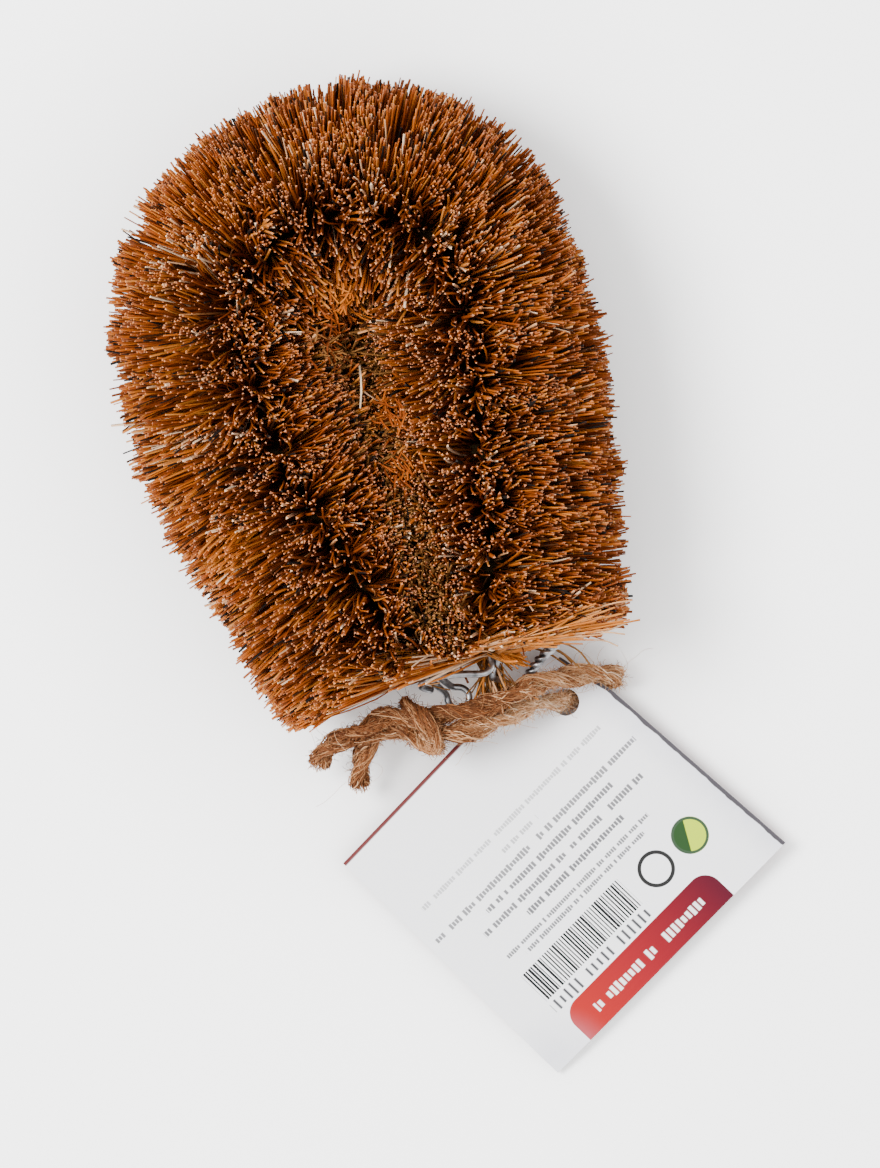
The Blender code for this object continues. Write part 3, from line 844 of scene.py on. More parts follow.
class Tufts:
    """Places round the stem where the tips of nearby fibres cling together."""

    def __init__(self, rng, stem):
        girth = math.tau * BRISTLE_RADIUS
        count = round(stem.run[-1] * girth / TUFT_SIZE ** 2)
        self.run = rng.uniform(0.0, stem.run[-1], count)
        self.angle = rng.uniform(-math.pi, math.pi, count)
        self.lean = rng.normal(0.0, TUFT_LEAN, count)
        self.slip = rng.normal(0.0, TUFT_SLIP, count)
        self.growth = rng.normal(1.0, TUFT_GROWTH_SPREAD, count)
        self.tint = rng.normal(0.0, TUFT_TINT_SPREAD, count)

    def nearest(self, run, angle):
        """The nearest tuft of each fibre, and how far round it lies from the fibre."""
        near = np.flatnonzero((self.run > run.min() - 2 * TUFT_SIZE)
                              & (self.run < run.max() + 2 * TUFT_SIZE))
        turn = half_turns(self.angle[near] - angle[:, None])
        away = (self.run[near] - run[:, None]) ** 2 + (BRISTLE_RADIUS * turn) ** 2
        best = away.argmin(axis=1)
        return near[best], turn[np.arange(len(run)), best]


def coir_angles(rng, run, ripples, near_end):
    """Where round the stem each fibre starts: two fans that turn with the twist, parted
    in blots along the top and the underside, and mostly level at the ends of the legs."""
    count = len(run)
    arm = rng.integers(0, 2, count) * math.pi
    angle = math.tau * run / TWIST_PITCH + arm + rng.normal(0.0, FAN_SPREAD, count)
    angle = half_turns(angle)
    upright = np.abs(np.abs(angle) - math.pi / 2)
    mean, waves, most = BLOT_SHARES
    blot = np.clip(mean + waves * ripples["blot"].at(run, 0.0 * angle), 0.0, most)
    moved = rng.random(count) < np.exp(-(upright / BLOT_SPREAD) ** 2) * blot
    push = np.where(np.abs(angle) < math.pi / 2, -1.0, 1.0) * np.sign(angle)
    angle = angle + np.where(moved, push * rng.uniform(*BLOT_TURNS, count), 0.0)
    level = rng.random(count) < near_end * END_FLAT_SHARE
    fan = half_turns(arm + rng.normal(0.0, END_FAN_SPREAD, count))
    return np.where(level, fan, angle), level


def grow_fibres(angle, lean, bow, reach, limit, margin):
    """How far out and up each fibre is at every step, turned up or down at its limit."""
    stride = (reach - FIBRE_ROOT) / FIBRE_STEPS
    side = FIBRE_ROOT * np.cos(angle)
    rise = FIBRE_ROOT * np.sin(angle)
    sides = [side]
    rises = [rise]
    up = np.where(np.sin(angle) >= 0, 1.0, -1.0)
    for i in range(FIBRE_STEPS):
        t = (i + 0.5) / FIBRE_STEPS
        heading = angle + lean * t + bow * (t - 0.5) * t * 2
        inward = np.cos(heading)
        press = np.clip((margin - (limit + side)) / margin, 0.0, 1.0)
        inward = np.where(inward < 0, inward * (1.0 - press), inward)
        upright = np.sqrt(1.0 - inward ** 2)
        sign = np.where(press > 0, up, np.where(np.sin(heading) >= 0, 1.0, -1.0))
        side = side + stride * inward
        rise = rise + stride * upright * sign
        sides.append(side)
        rises.append(rise)
    return sides, rises


def coir_lines(rng, stem, run, ripples, tufts):
    """Middle lines of fibres that start at these runs of the stem."""
    count = len(run)
    centre = stem.read(stem.centre, run)
    outward = stem.read(stem.outward, run)
    forward = stem.read(stem.forward, run)
    gap = stem.read(stem.gap, run)
    place = stem.read(stem.place, run)
    first_run, last_run = stem.run[0], stem.run[-1]
    from_end = np.minimum(run - first_run, last_run - run)
    on_left = run - first_run < last_run - run
    near_end = np.clip(1.0 - from_end / END_REACH, 0.0, 1.0) ** END_EASE
    angle, level = coir_angles(rng, run, ripples, near_end)
    tuft, turn = tufts.nearest(run, angle)
    pull = rng.uniform(*TUFT_PULL_SHARES, count)
    flare = stem.read(stem.left_flare + stem.right_flare, run)
    reach = BRISTLE_RADIUS + flare * np.clip(np.cos(angle), 0.0, 1.0) ** 2
    reach *= tufts.growth[tuft] + rng.normal(0.0, LENGTH_SPREAD, count)
    reach *= 1.0 + TRIM_WAVE * ripples["trim"].at(run, angle)
    outer = np.clip(np.cos(angle), 0.0, 1.0)
    reach *= 1.0 - np.where(on_left, LEFT_CORNER_TRIM, RIGHT_CORNER_TRIM) * near_end * outer
    reach *= redraw(rng, np.ones(count), SHORT_SHARE, SHORT_LENGTHS)
    reach *= redraw(rng, np.ones(count), LONG_SHARE, LONG_LENGTHS)

    lean = (rng.normal(0.0, LEAN_SPREAD, count) + SWAY_LEAN * ripples["lean"].at(run, angle)
            + tufts.lean[tuft] + pull * turn)
    bow = rng.normal(0.0, BOW_SPREAD, count)
    crown = (place > LEFT_TOP) & (place < RIGHT_TOP)
    mesh = rng.normal(0.0, 1.0, count)
    limit = gap + np.where(crown, CROWN_MESH * mesh - CROWN_SLIT, SEAM_MESH * mesh)
    limit = np.where(level, FREE_REACH, limit)
    margin = np.minimum(SEAM_MARGIN, limit * MARGIN_SHARE) * rng.uniform(*MARGIN_SPREAD, count)
    sides, rises = grow_fibres(angle, lean, bow, reach, limit, margin)

    past = np.where(on_left, -1.0, 1.0)
    splay = near_end * rng.uniform(0.5, 1.0, count)
    rake = np.where(on_left, LEFT_END_RAKE_SHARE, RIGHT_END_RAKE_SHARE)
    droop = np.where(on_left, LEFT_END_HANG_SHARE, RIGHT_END_HANG_SHARE)
    hang = np.where(level, droop * (1.0 - outer), -END_SHY_SHARE) - rake * outer
    hang = redraw(rng, hang, END_STRAY_SHARE * (~on_left & (near_end > 0.7)), END_STRAY_HANG)
    slip = (rng.normal(0.0, SLIP_SPREAD, count) + SWAY_SLIP * ripples["slip"].at(run, angle)
            + tufts.slip[tuft] + pull * (tufts.run[tuft] - run))
    slip = np.where(past * slip > 0, slip * (1.0 - END_HOLD_SHARE * near_end), slip)
    slip += past * splay * hang * reach
    wave = rng.normal(0.0, FIBRE_WAVE, count)
    wave_turn = rng.uniform(0.0, math.tau, count)
    matted = np.clip(1.0 - (gap + sides[-1]) / MAT_WIDTH, 0.0, 1.0) * (1.0 - near_end)
    mat_along = matted * rng.normal(0.0, MAT_LEAN, count)
    mat_across = matted * rng.normal(0.0, MAT_CROSS, count)

    rings = []
    for share in FIBRE_RING_SHARES:
        k = round(share * FIBRE_STEPS)
        drift = slip * share ** 1.4 + wave * math.sin(math.pi * share) * np.sin(wave_turn)
        wobble = wave * math.sin(math.tau * share) * np.cos(wave_turn)
        aside = sides[k] + wobble + mat_across * share ** 3
        onward = drift + mat_along * share ** 3
        flat = centre + outward * aside[:, None] + forward * onward[:, None]
        height = STEM_HEIGHT + rises[k] * (1.0 - MAT_SINK * matted * share)
        rings.append(np.column_stack((flat, height)))
    lines = np.stack(rings, axis=1)
    trodden = rng.uniform(*TRODDEN_HEIGHTS, count) * MM
    lines[:, :, 2] = np.maximum(lines[:, :, 2], trodden[:, None])
    return lines, angle, sides[-1], gap, crown, near_end, tufts.tint[tuft]


def photo_place(points):
    """Where points are seen in the photograph, in its pixels."""
    away = (points[:, :2] - VIEW_MIDDLE) / (1.0 - points[:, 2:] / VIEW_DISTANCE) / PIXEL_SIZE
    return np.column_stack((PHOTO_PIXELS[0] / 2 + away @ VIEW_ACROSS,
                            PHOTO_PIXELS[1] / 2 - away @ VIEW_UP))


def from_photo(route):
    """Points of the object from their places in the photograph and their heights."""
    route = np.array(route, float)
    height = route[:, 2] * MM
    scale = PIXEL_SIZE * (1.0 - height / VIEW_DISTANCE)
    flat = (np.outer((route[:, 0] - PHOTO_PIXELS[0] / 2) * scale, VIEW_ACROSS)
            + np.outer((PHOTO_PIXELS[1] / 2 - route[:, 1]) * scale, VIEW_UP) + VIEW_MIDDLE)
    return np.column_stack((flat, height))


def spot_distances(seen, spots):
    """Vectors from each spot to each tip, their lengths, and the spots' radii."""
    spots = np.array(spots, float)
    away = seen[:, None, :] - spots[:, :2]
    return away, np.maximum(np.linalg.norm(away, axis=2), 0.01), spots[:, 2]


def spot_share(seen, on_top, spots):
    """How far each tip lies in one of the spots: 1 in its middle, fading outwards."""
    _, length, radius = spot_distances(seen, spots)
    return np.exp(-(length / radius) ** 2).max(axis=1) * on_top


def part_tips(lines, seen, on_top):
    """Open the hollows between the tufts, by moving the tips round them away."""
    away, length, radius = spot_distances(seen, PARTINGS)
    push = np.sqrt(length ** 2 + radius ** 2) / length - 1.0
    push *= np.exp(-(length / radius / PARTING_REACH) ** 2)
    shift = (away * push[:, :, None]).sum(axis=1) * (PIXEL_SIZE * on_top)[:, None]
    flat = np.outer(shift[:, 0], VIEW_ACROSS) - np.outer(shift[:, 1], VIEW_UP)
    lines[:, :, :2] += flat[:, None, :] * (np.array(FIBRE_RING_SHARES) ** 1.5)[None, :, None]


def coir_tints(rng, run, angle, side, gap, near_end, tuft_tint, ripples):
    """Tints by tuft and broad patch, dull along the seam and golden at the ends."""
    tint = draw_tints(rng, COIR_DRAWS, len(run))
    patch = ripples["patch"].at(run, angle)
    shifted = np.maximum(tint + PATCH_TINT * patch + tuft_tint, RED_TINT)
    tint = np.where(tint > 0.1, shifted, tint)
    matted = np.clip(1.0 - (gap + side) / MAT_WIDTH, 0.0, 0.60) * (1.0 - near_end)
    tint = redraw(rng, tint, matted, OLIVE_BAND)
    tint = redraw(rng, tint, near_end * END_GOLDEN_SHARE, END_GOLDEN_BAND)
    tint = redraw(rng, tint, near_end * END_STRAW_SHARE, END_STRAW_BAND)
    return np.clip(tint, *TINT_LIMITS)


def slice_runs(rng, low, high, starts_leg, ends_leg):
    """Where along a slice of the stem its fibres start, and how many of them stay."""
    wanted = round(FIBRES_PER_MM * (high - low) / MM)
    run = rng.uniform(low, high, wanted * 2)
    crowded = rng.random(len(run)) < END_CROWD_SHARE
    crowd = rng.uniform(0.0, END_CROWD_REACH, len(run))
    if starts_leg:
        run = np.where(crowded, low + crowd, run)
    if ends_leg:
        run = np.where(crowded, high - crowd, run)
    return run, wanted


def add_coir(stem, finish):
    """The fibres of every slice of the brush, each slice a piece of its own. What comes
    back is the tips of them all."""
    shared = np.random.default_rng(COIR_SEED)
    ripples = {name: Ripple(shared, *sizes) for name, *sizes in RIPPLES}
    tufts = Tufts(shared, stem)
    last = len(STEM_SHARES) - 1
    tips = []
    stretches = (("left", 0, LEFT_TOP, LEG_SLICES), ("crown", LEFT_TOP, RIGHT_TOP, CROWN_SLICES),
                 ("right", RIGHT_TOP, last, LEG_SLICES))
    along = np.array(FIBRE_RING_SHARES)
    seed = SLICE_SEED
    for name, start, end, slices in stretches:
        for k in range(slices):
            seed += 1
            rng = np.random.default_rng(seed)
            low = stem.run_at(start + (end - start) * k / slices)
            high = stem.run_at(start + (end - start) * (k + 1) / slices)
            run, wanted = slice_runs(rng, low, high, start == 0 and k == 0,
                                     end == last and k == slices - 1)
            lines, angle, side, gap, crown, near_end, tuft_tint = coir_lines(
                rng, stem, run, ripples, tufts)
            share = np.where(crown, (gap + side) / gap / 2, 0.5)
            share = np.clip(share, LEAST_SHARE, 1.0)
            kept = np.flatnonzero(rng.random(len(run)) < share)[:wanted]
            tint = coir_tints(rng, run, angle, side, gap, near_end, tuft_tint, ripples)
            if name == "right":
                paler = RIGHT_END_PALER * near_end * (tint > PALER_TINTS[0])
                tint = np.minimum(tint + paler, np.maximum(tint, PALER_TINTS[1]))
            seen = photo_place(lines[:, -1])
            on_top = np.clip((lines[:, -1, 2] - STEM_HEIGHT) / PARTING_HEIGHT, 0.0, 1.0)
            golden = spot_share(seen, on_top, GOLDEN_PATCHES)
            tint = redraw(rng, tint, GOLDEN_PATCH_SHARE * golden, GOLDEN_BAND)
            dull = spot_share(seen, on_top, DULL_PATCHES)
            tint = redraw(rng, tint, DULL_PATCH_SHARE * dull, OLIVE_BAND)
            part_tips(lines, seen, on_top)
            hollow = spot_share(seen, on_top, PARTINGS)
            # painted shade: fibres in a parting get a darker tint
            shaded = RED_TINT + (tint - RED_TINT) * (1.0 - PARTING_SHADE * hollow)
            tint = np.where(tint > RED_TINT, shaded, tint)
            radius = np.clip(rng.lognormal(0.0, RADIUS_SPREAD, len(run)), *RADIUS_LIMITS)
            thickness = (FIBRE_RADIUS * radius)[:, None] * np.array(FIBRE_TAPER_SHARES)
            piece = make_fibres(f"coir_{name}_{k + 1}", lines[kept], thickness[kept],
                                tint[kept, None], along, finish)
            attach(piece, "brush")
            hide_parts(f"bristles_{name}_{k + 1}")
            tips.append(lines[kept, -1])
    return np.vstack(tips)


def add_mats(tips, finish):
    """Short fibres felted over the tips in the patches along the seam."""
    rng = np.random.default_rng(MAT_SEED)
    seen = photo_place(tips)
    on_top = tips[:, 2] > STEM_HEIGHT
    lines = []
    tint = []
    for across, down, radius, tints in MATS:
        away = np.hypot(seen[:, 0] - across, seen[:, 1] - down)
        near = tips[on_top & (rng.random(len(tips)) < np.exp(-(away / radius) ** 2))]
        carriers = rng.choice(near, MAT_FIBRES)
        turn = rng.normal(MAT_HEADING, MAT_HEADING_SPREAD, MAT_FIBRES)
        slope = rng.normal(0.0, MAT_RISE, MAT_FIBRES)
        heading = np.column_stack((np.cos(turn), np.sin(turn), slope))
        aside = np.column_stack((-np.sin(turn), np.cos(turn), 0.0 * turn))
        half = heading * (MAT_LENGTH / 2 * rng.uniform(*MAT_LENGTHS, MAT_FIBRES))[:, None]
        bend = aside * rng.normal(0.0, MAT_BEND, MAT_FIBRES)[:, None]
        points = [carriers + half * t + bend * (1.0 - t * t) for t in MAT_POINTS]
        lines.append(np.stack(points, axis=1))
        tint.append(rng.uniform(*tints, MAT_FIBRES))
    lines = np.vstack(lines)
    radius = FIBRE_RADIUS * rng.uniform(*MAT_RADII, len(lines))
    along = np.linspace(*MAT_ALONG, len(MAT_POINTS))
    piece = make_fibres("felted_patches", lines, radius[:, None],
                        np.concatenate(tint)[:, None], along, finish)
    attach(piece, "brush")


def add_wisps(finish):
    """Short fibres that stand out of the right leg's end, over the eye of the wire."""
    rng = np.random.default_rng(WISP_SEED)
    lines = []
    tint = []
    for count, start, end, start_spread, end_spread, tints in END_WISPS:
        first = start + rng.normal(0.0, 1.0, (count, 3)) * start_spread
        last = end + rng.normal(0.0, 1.0, (count, 3)) * end_spread
        middle = (first + last) / 2 + rng.normal(0.0, WISP_BEND, (count, 3))
        route = np.stack((first, middle, last), axis=1)
        lines.append(from_photo(route.reshape(-1, 3)).reshape(count, 3, 3))
        tint.append(rng.uniform(*tints, count))
    lines = np.stack([spline_line(line, 3) for line in np.vstack(lines)])
    share = np.linspace(*WISP_ALONG, lines.shape[1])
    radius = FIBRE_RADIUS * rng.uniform(*WISP_RADII, len(lines))
    piece = make_fibres("end_wisps", lines, radius[:, None] * (1.1 - STRAW_TAPER * share),
                        np.concatenate(tint)[:, None], share, finish)
    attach(piece, "brush")


def add_straws(finish):
    """Loose fibres that stand out of the ends or lie along the seam."""
    rng = np.random.default_rng(STRAW_SEED)
    routes = GREY_STRAWS + PALE_STRAWS + (SEAM_STRAW,)
    lines = np.stack([spline_line(from_photo(route), 4) for route in routes])
    tint = np.concatenate((rng.uniform(*GREY_TINTS, len(GREY_STRAWS)),
                           rng.uniform(*PALE_TINTS, len(PALE_STRAWS)), (SEAM_TINT,)))
    share = np.linspace(0.0, 1.0, lines.shape[1])
    radius = FIBRE_RADIUS * rng.uniform(*STRAW_RADII, len(lines))
    piece = make_fibres("loose_straws", lines, radius[:, None] * (1.0 - STRAW_TAPER * share),
                        tint[:, None], share, finish)
    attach(piece, "brush")


def add_core(stem, finish):
    """Matted roots round the wire, which close the brush to light."""
    run = np.linspace(CORE_INSET, stem.run[-1] - CORE_INSET, CORE_POINTS)
    flat = stem.read(stem.centre, run)
    line = np.column_stack((flat, np.full(len(run), STEM_HEIGHT)))
    piece = add_tube("coir_roots", line, 2 * CORE_RADIUS, finish, WIRE_ROUNDING)
    rng = np.random.default_rng(ROOT_SEED)
    places = np.array([vert.co for vert in piece.data.vertices])
    wander = 1.0 + rng.normal(0.0, CORE_WANDER, len(places))
    nearest = ((places[:, None, :2] - flat[None, :, :]) ** 2).sum(axis=2).argmin(axis=1)
    places = line[nearest] + (places - line[nearest]) * wander[:, None]
    piece.data.vertices.foreach_set("co", places.ravel())
    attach(piece, "brush")


def ply_line(stem, sign):
    """One of the two plies that twist along the stem."""
    length = stem.run[-1]
    turns = round(length / TWIST_PITCH)
    run = np.linspace(0.0, length, round(length / WIRE_STEP))
    phase = math.tau * turns * run / length
    flat = (stem.read(stem.centre, run)
            + stem.read(stem.outward, run) * (sign * PLY_OFFSET * np.cos(phase))[:, None])
    return np.column_stack((flat, STEM_HEIGHT + sign * PLY_OFFSET * np.sin(phase)))


def eye_line(left_end):
    """The fold of the wire: a ring, entered and left at its neck."""
    middle = left_end + np.array((*EYE_OFFSET, -EYE_DROP))
    neck = math.atan2(-EYE_OFFSET[1], -EYE_OFFSET[0])
    opening = math.asin(PLY_OFFSET / EYE_RADIUS)
    angle = neck - opening - np.linspace(0.0, math.tau - 2 * opening, EYE_POINTS)
    ring = np.column_stack((np.cos(angle), np.sin(angle), 0.0 * angle))
    return middle + EYE_RADIUS * ring


def add_wire(stem, finish):
    """The one wire: closing bar, twisted stem, eye, stem again and curled end."""
    left_end = np.array((*stem.centre[0], STEM_HEIGHT))
    inner = ply_line(stem, -1.0)
    outer = ply_line(stem, 1.0)
    bar = left_end + np.array(BAR_SHARES) * CLOSURE_SPAN
    curl = left_end + np.array(CURL_SHARES) * CLOSURE_SPAN
    bar = even_line(np.vstack((bar, inner[-1])), WIRE_STEP)
    curl = even_line(np.vstack((outer[-1], curl)), WIRE_STEP)
    route = np.vstack((bar[:-1], inner[::-1], eye_line(left_end), outer, curl[1:]))
    run = run_along(route)
    route = read_line(route, run, np.linspace(0.0, run[-1], round(run[-1] / WIRE_STEP)))
    for _ in range(WIRE_EASE):
        route[1:-1] = (route[:-2] + 2 * route[1:-1] + route[2:]) / 4
    piece = add_tube("twisted_wire", route, WIRE_DIAMETER, finish, WIRE_ROUNDING)
    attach(piece, "brush")
    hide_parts("core_wire")


def add_wire_tail(finish):
    """The wire's two ends, twisted tightly together."""
    line = even_line(from_photo(TAIL_ROUTE), TAIL_STEP)
    _, across, over = line_frames(line)
    turn = math.tau * run_along(line) / TAIL_PITCH
    plies = []
    for sign in (-1.0, 1.0):
        offset = sign * TAIL_PLY_DIAMETER / 2
        ply = line + spokes(across, over, turn) * offset
        plies.append(add_tube("tail_ply", ply, TAIL_PLY_DIAMETER, finish, TAIL_ROUNDING))
    piece = join_pieces("wire_tail", plies)
    piece.data.shade_smooth()
    piece.data.set_sharp_from_angle(angle=WIRE_SHARP)
    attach(piece, "brush")


def yarn_lines(rng, line, fibres, fullness):
    """Fibres of a two-yarn twine along a line, as full as given at each point of it."""
    _, across, over = line_frames(line)
    run = run_along(line)
    groups = []
    for yarn in range(2):
        lay = math.tau * run / YARN_PITCH + yarn * math.pi
        offset = YARN_OFFSET * fullness
        middle = (line + across * (offset * np.cos(lay))[:, None]
                  + over * (offset * np.sin(lay))[:, None])
        start = rng.uniform(0.0, math.tau, fibres)
        pitch = YARN_PITCH * rng.uniform(0.8, 1.3, fibres)
        depth = YARN_RADIUS * np.sqrt(rng.uniform(0.25, 1.0, fibres))
        sway = rng.uniform(0.0, math.tau, (3, fibres))
        wave = rng.uniform(*YARN_SWAY_LENGTHS, (3, fibres))
        for f in range(fibres):
            stray = sum(np.sin(math.tau * run / wave[w, f] + sway[w, f]) for w in range(3))
            radius = depth[f] * (1.0 + YARN_SWAY * stray) * fullness
            turn = start[f] + math.tau * run / pitch[f] + YARN_SWAY_TURN * stray
            groups.append(middle + across * (radius * np.cos(turn))[:, None]
                          + over * (radius * np.sin(turn))[:, None])
    lines = np.stack(groups)
    lines[:, :, 2] = np.maximum(lines[:, :, 2], JUTE_RADIUS)
    return lines


def wander(rng, here, heading, axis, bend, jitter, stride, points):
    """Lines that set off in a heading and turn about an axis as they go."""
    heading = unit(heading)
    rows = [here]
    for _ in range(points - 1):
        shake = rng.normal(0.0, jitter, here.shape)
        heading = unit(heading + np.cross(axis, heading) * bend + shake)
        here = here + heading * stride
        rows.append(here)
    lines = np.stack(rows, axis=1)
    lines[:, :, 2] = np.maximum(lines[:, :, 2], LOWEST_HAIR)
    return lines


def hair_lines(rng, line, count, longest, curl, forward_share, points):
    """Loose hairs that leave a line of twine in soft curls, and where along it."""
    forward, across, over = line_frames(line)
    at = rng.integers(1, len(line) - 1, count)
    turn = rng.uniform(0.0, math.tau, count)
    outward = spokes(across[at], over[at], turn)
    way = rng.choice((-1.0, 1.0), count)[:, None]
    here = line[at] + outward * TWINE_DIAMETER * HAIR_ROOT_SHARE
    heading = outward + forward[at] * way * rng.uniform(0.0, 2.0 * forward_share, (count, 1))
    axis = unit(rng.normal(0.0, 1.0, (count, 3)))
    bend = rng.normal(0.0, curl / 3, (count, 1))
    stride = rng.uniform(0.25, 1.0, (count, 1)) * longest / points
    lines = wander(rng, here, heading, axis, bend, HAIR_JITTER, stride, points)
    return lines, at / (len(line) - 1)


def tuft_lines(rng, line):
    """The opened end of a twine: fibres that run out of it and part."""
    forward, across, over = line_frames(line)
    start = len(line) - 1 - rng.integers(0, 3, FRAY_FIBRES)
    turn = rng.uniform(0.0, math.tau, FRAY_FIBRES)
    reach = TWINE_DIAMETER * FRAY_ROOT_SHARE * np.sqrt(rng.random(FRAY_FIBRES))
    outward = spokes(across[start], over[start], turn)
    here = line[start] + outward * reach[:, None]
    heading = forward[start] + outward * rng.uniform(0.0, FRAY_SPREAD, (FRAY_FIBRES, 1))
    stride = rng.uniform(0.35, 1.0, (FRAY_FIBRES, 1)) * FRAY_LENGTH / FRAY_POINTS
    axis = rng.normal(0.0, 1.0, (FRAY_FIBRES, 3))
    return wander(rng, here, heading, axis, FRAY_BEND, FRAY_JITTER, stride, FRAY_POINTS)


def jute_tints(rng, count, middle):
    return np.clip(rng.normal(middle, JUTE_TINT_SPREAD, count), *TINT_LIMITS)[:, None]


def add_twine(finish):
    """One twine: left tail, through the knot, round the tag and back, and knotted."""
    rng = np.random.default_rng(TWINE_SEED)
    points = np.array(LEFT_TAIL_ROUTE + THROUGH_KNOT_ROUTE + TAG_LOOP_ROUTE
                      + KNOT_WRAP_ROUTE + LOWER_TAIL_ROUTE) * MM
    line = even_line(points, TWINE_STEP)
    along = np.linspace(0.0, 1.0, len(line))
    fullness = np.interp(along, *FULLNESS_SHARES)
    strands = yarn_lines(rng, line, JUTE_FIBRES, fullness)
    count = len(strands)
    radius = np.clip(rng.lognormal(0.0, JUTE_RADIUS_SPREAD, count), *JUTE_RADIUS_LIMITS)
    # the twine's tint carries soiling and painted shade along its length
    tint = jute_tints(rng, count, TWINE_TINT) + np.interp(along, *SOIL_AND_SHADE_SHARES)
    twine = make_fibres("jute_twine", strands, (JUTE_RADIUS * radius)[:, None],
                        np.clip(tint, *TINT_LIMITS), along, finish)

    def even_fibres(name, lines, thickness, tint):
        share = np.linspace(0.0, 1.0, lines.shape[1])
        return make_fibres(name, lines, thickness, tint, share, finish)

    short = even_line(np.array(SHORT_END_ROUTE) * MM, TWINE_STEP)
    short_fullness = np.linspace(*STUB_FULLNESS, len(short))
    short_strands = yarn_lines(rng, short, STUB_FIBRES, short_fullness)
    stub = even_fibres("short_end", short_strands, JUTE_RADIUS,
                       jute_tints(rng, len(short_strands), STUB_TINT))
    frays = np.concatenate([tuft_lines(rng, end) for end in (line[::-1], line, short)])
    frayed = even_fibres("frayed_ends", frays, FRAY_RADIUS, jute_tints(rng, len(frays), FRAY_TINT))
    nap, share = hair_lines(rng, line, *NAP)
    # the hairs carry the same soiling and painted shade as the twine
    tint = jute_tints(rng, len(nap), NAP_TINT) + np.interp(share, *SOIL_AND_SHADE_SHARES)[:, None]
    fuzz = even_fibres("jute_fuzz", nap, NAP_RADIUS, np.clip(tint, *TINT_LIMITS))
    long_hairs, _ = hair_lines(rng, line, *LONG_HAIRS)
    strays = even_fibres("loose_hairs", long_hairs, HAIR_RADIUS,
                         jute_tints(rng, len(long_hairs), LONG_HAIR_TINT))
    for piece in (twine, stub, frayed, fuzz, strays):
        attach(piece, "twine")
    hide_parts("twine_loop", "twine_knot", "twine_tail_left", "twine_tail_lower")


def card_matrix():
    """The tag's own axes: X along the fold, Y across it and Z out of the front leaf."""
    tilt = Matrix.Rotation(CARD_TILT, 4, "X")
    heading = Matrix.Rotation(CARD_HEADING, 4, "Z")
    corners = [Vector((x * CARD_LENGTH, y * CARD_WIDTH, 0.0)) for x, y in LEAF_OUTLINE_SHARES]
    lowest = min((tilt @ heading @ corner).z for corner in corners)
    height = (CARD_THICKNESS + LEAF_GAP / 2) / math.cos(CARD_TILT) - lowest
    return Matrix.Translation((*TAG_CORNER, height)) @ tilt @ heading


def leaf_point(along, away, side):
    """A point of a leaf's middle plane: along is the share of the fold, away the share
    of the leaf's depth, and side is 1 on the front leaf and -1 on the back leaf."""
    shares = LEAF_OUTLINE_SHARES
    near_left, far_left, far_right, nip, near_right = [np.array(s) for s in shares]
    left = near_left + (far_left - near_left) * away
    nip_depth = nip[1] / far_right[1]
    if away < nip_depth:
        right = near_right + (nip - near_right) * (away / nip_depth)
    else:
        right = nip + (far_right - nip) * ((away - nip_depth) / (1.0 - nip_depth))
    flat = left + (right - left) * along
    x = flat[0] * CARD_LENGTH
    y = flat[1] * CARD_WIDTH
    depth = -y
    step = (LEAF_GAP + CARD_THICKNESS) / 2
    if side < 0:
        return Vector((x, y, -step))
    bow = LEAF_BOW * math.sin(math.pi * min(1.0, depth / CARD_WIDTH))
    corner = max(0.0, 1.0 - (x + CARD_WIDTH - depth) / BENT_CORNER) ** 2 * CORNER_DROP
    return Vector((x, y, step + depth * math.sin(REST_OPENING) + bow - corner))


def add_card(print_finish, plain_finish):
    """The folded card as one bent sheet with its thickness and its punched hole."""
    mesh = bmesh.new()
    layer = mesh.loops.layers.uv.new("card")
    grid = []
    step = (LEAF_GAP + CARD_THICKNESS) / 2
    profile = [(-1, 1.0 - i / LEAF_ROWS) for i in range(LEAF_ROWS)]
    profile += [(0, i / FOLD_ROWS) for i in range(FOLD_ROWS + 1)]
    profile += [(1, (i + 1) / LEAF_ROWS) for i in range(LEAF_ROWS)]
    for side, share in profile:
        row = []
        for i in range(CARD_COLUMNS + 1):
            along = i / CARD_COLUMNS
            if side:
                point = leaf_point(along, share, side)
                depth = side * share
            else:
                base = leaf_point(along, 0.0, -1)
                angle = math.pi * (share - 0.5)
                point = Vector((base.x, base.y + step * math.cos(angle), step * math.sin(angle)))
                depth = (share - 0.5) * step * math.pi / CARD_WIDTH
            row.append((mesh.verts.new(point), (point.x / CARD_LENGTH, 0.5 + depth / 2)))
        grid.append(row)
    for row, above in zip(grid, grid[1:]):
        for i in range(CARD_COLUMNS):
            corners = (row[i], above[i], above[i + 1], row[i + 1])
            face = mesh.faces.new([vert for vert, _ in corners])
            for loop, (_, place) in zip(face.loops, corners):
                loop[layer].uv = place
    data = bpy.data.meshes.new("folded_card")
    mesh.to_mesh(data)
    mesh.free()
    for material in (print_finish, plain_finish):
        data.materials.append(material)
    card = add_piece("folded_card", data)
    wall = card.modifiers.new("wall", "SOLIDIFY")
    wall.thickness = CARD_THICKNESS
    wall.offset = 0.0
    wall.material_offset = 1
    wall.material_offset_rim = 1
    bpy.ops.mesh.primitive_cylinder_add(
        vertices=HOLE_SIDES, radius=TAG_HOLE_DIAMETER / 2, depth=PUNCH_DEPTH,
        location=(CORNER_TO_HOLE, -FOLD_TO_HOLE, 0.0))
    punch = bpy.context.object
    cut = card.modifiers.new("hole", "BOOLEAN")
    cut.operation = "DIFFERENCE"
    cut.object = punch
    cut.solver = "EXACT"
    final = plain_mesh(card)
    bpy.data.objects.remove(punch, do_unlink=True)
    card.modifiers.clear()
    card.data = final
    final.name = "folded_card"
    fold = card_matrix()
    final.transform(fold)
    final.shade_smooth()
    final.set_sharp_from_angle(angle=CARD_SHARP)
    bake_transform(card)
    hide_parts("tag_back_leaf", "tag_front_leaf")


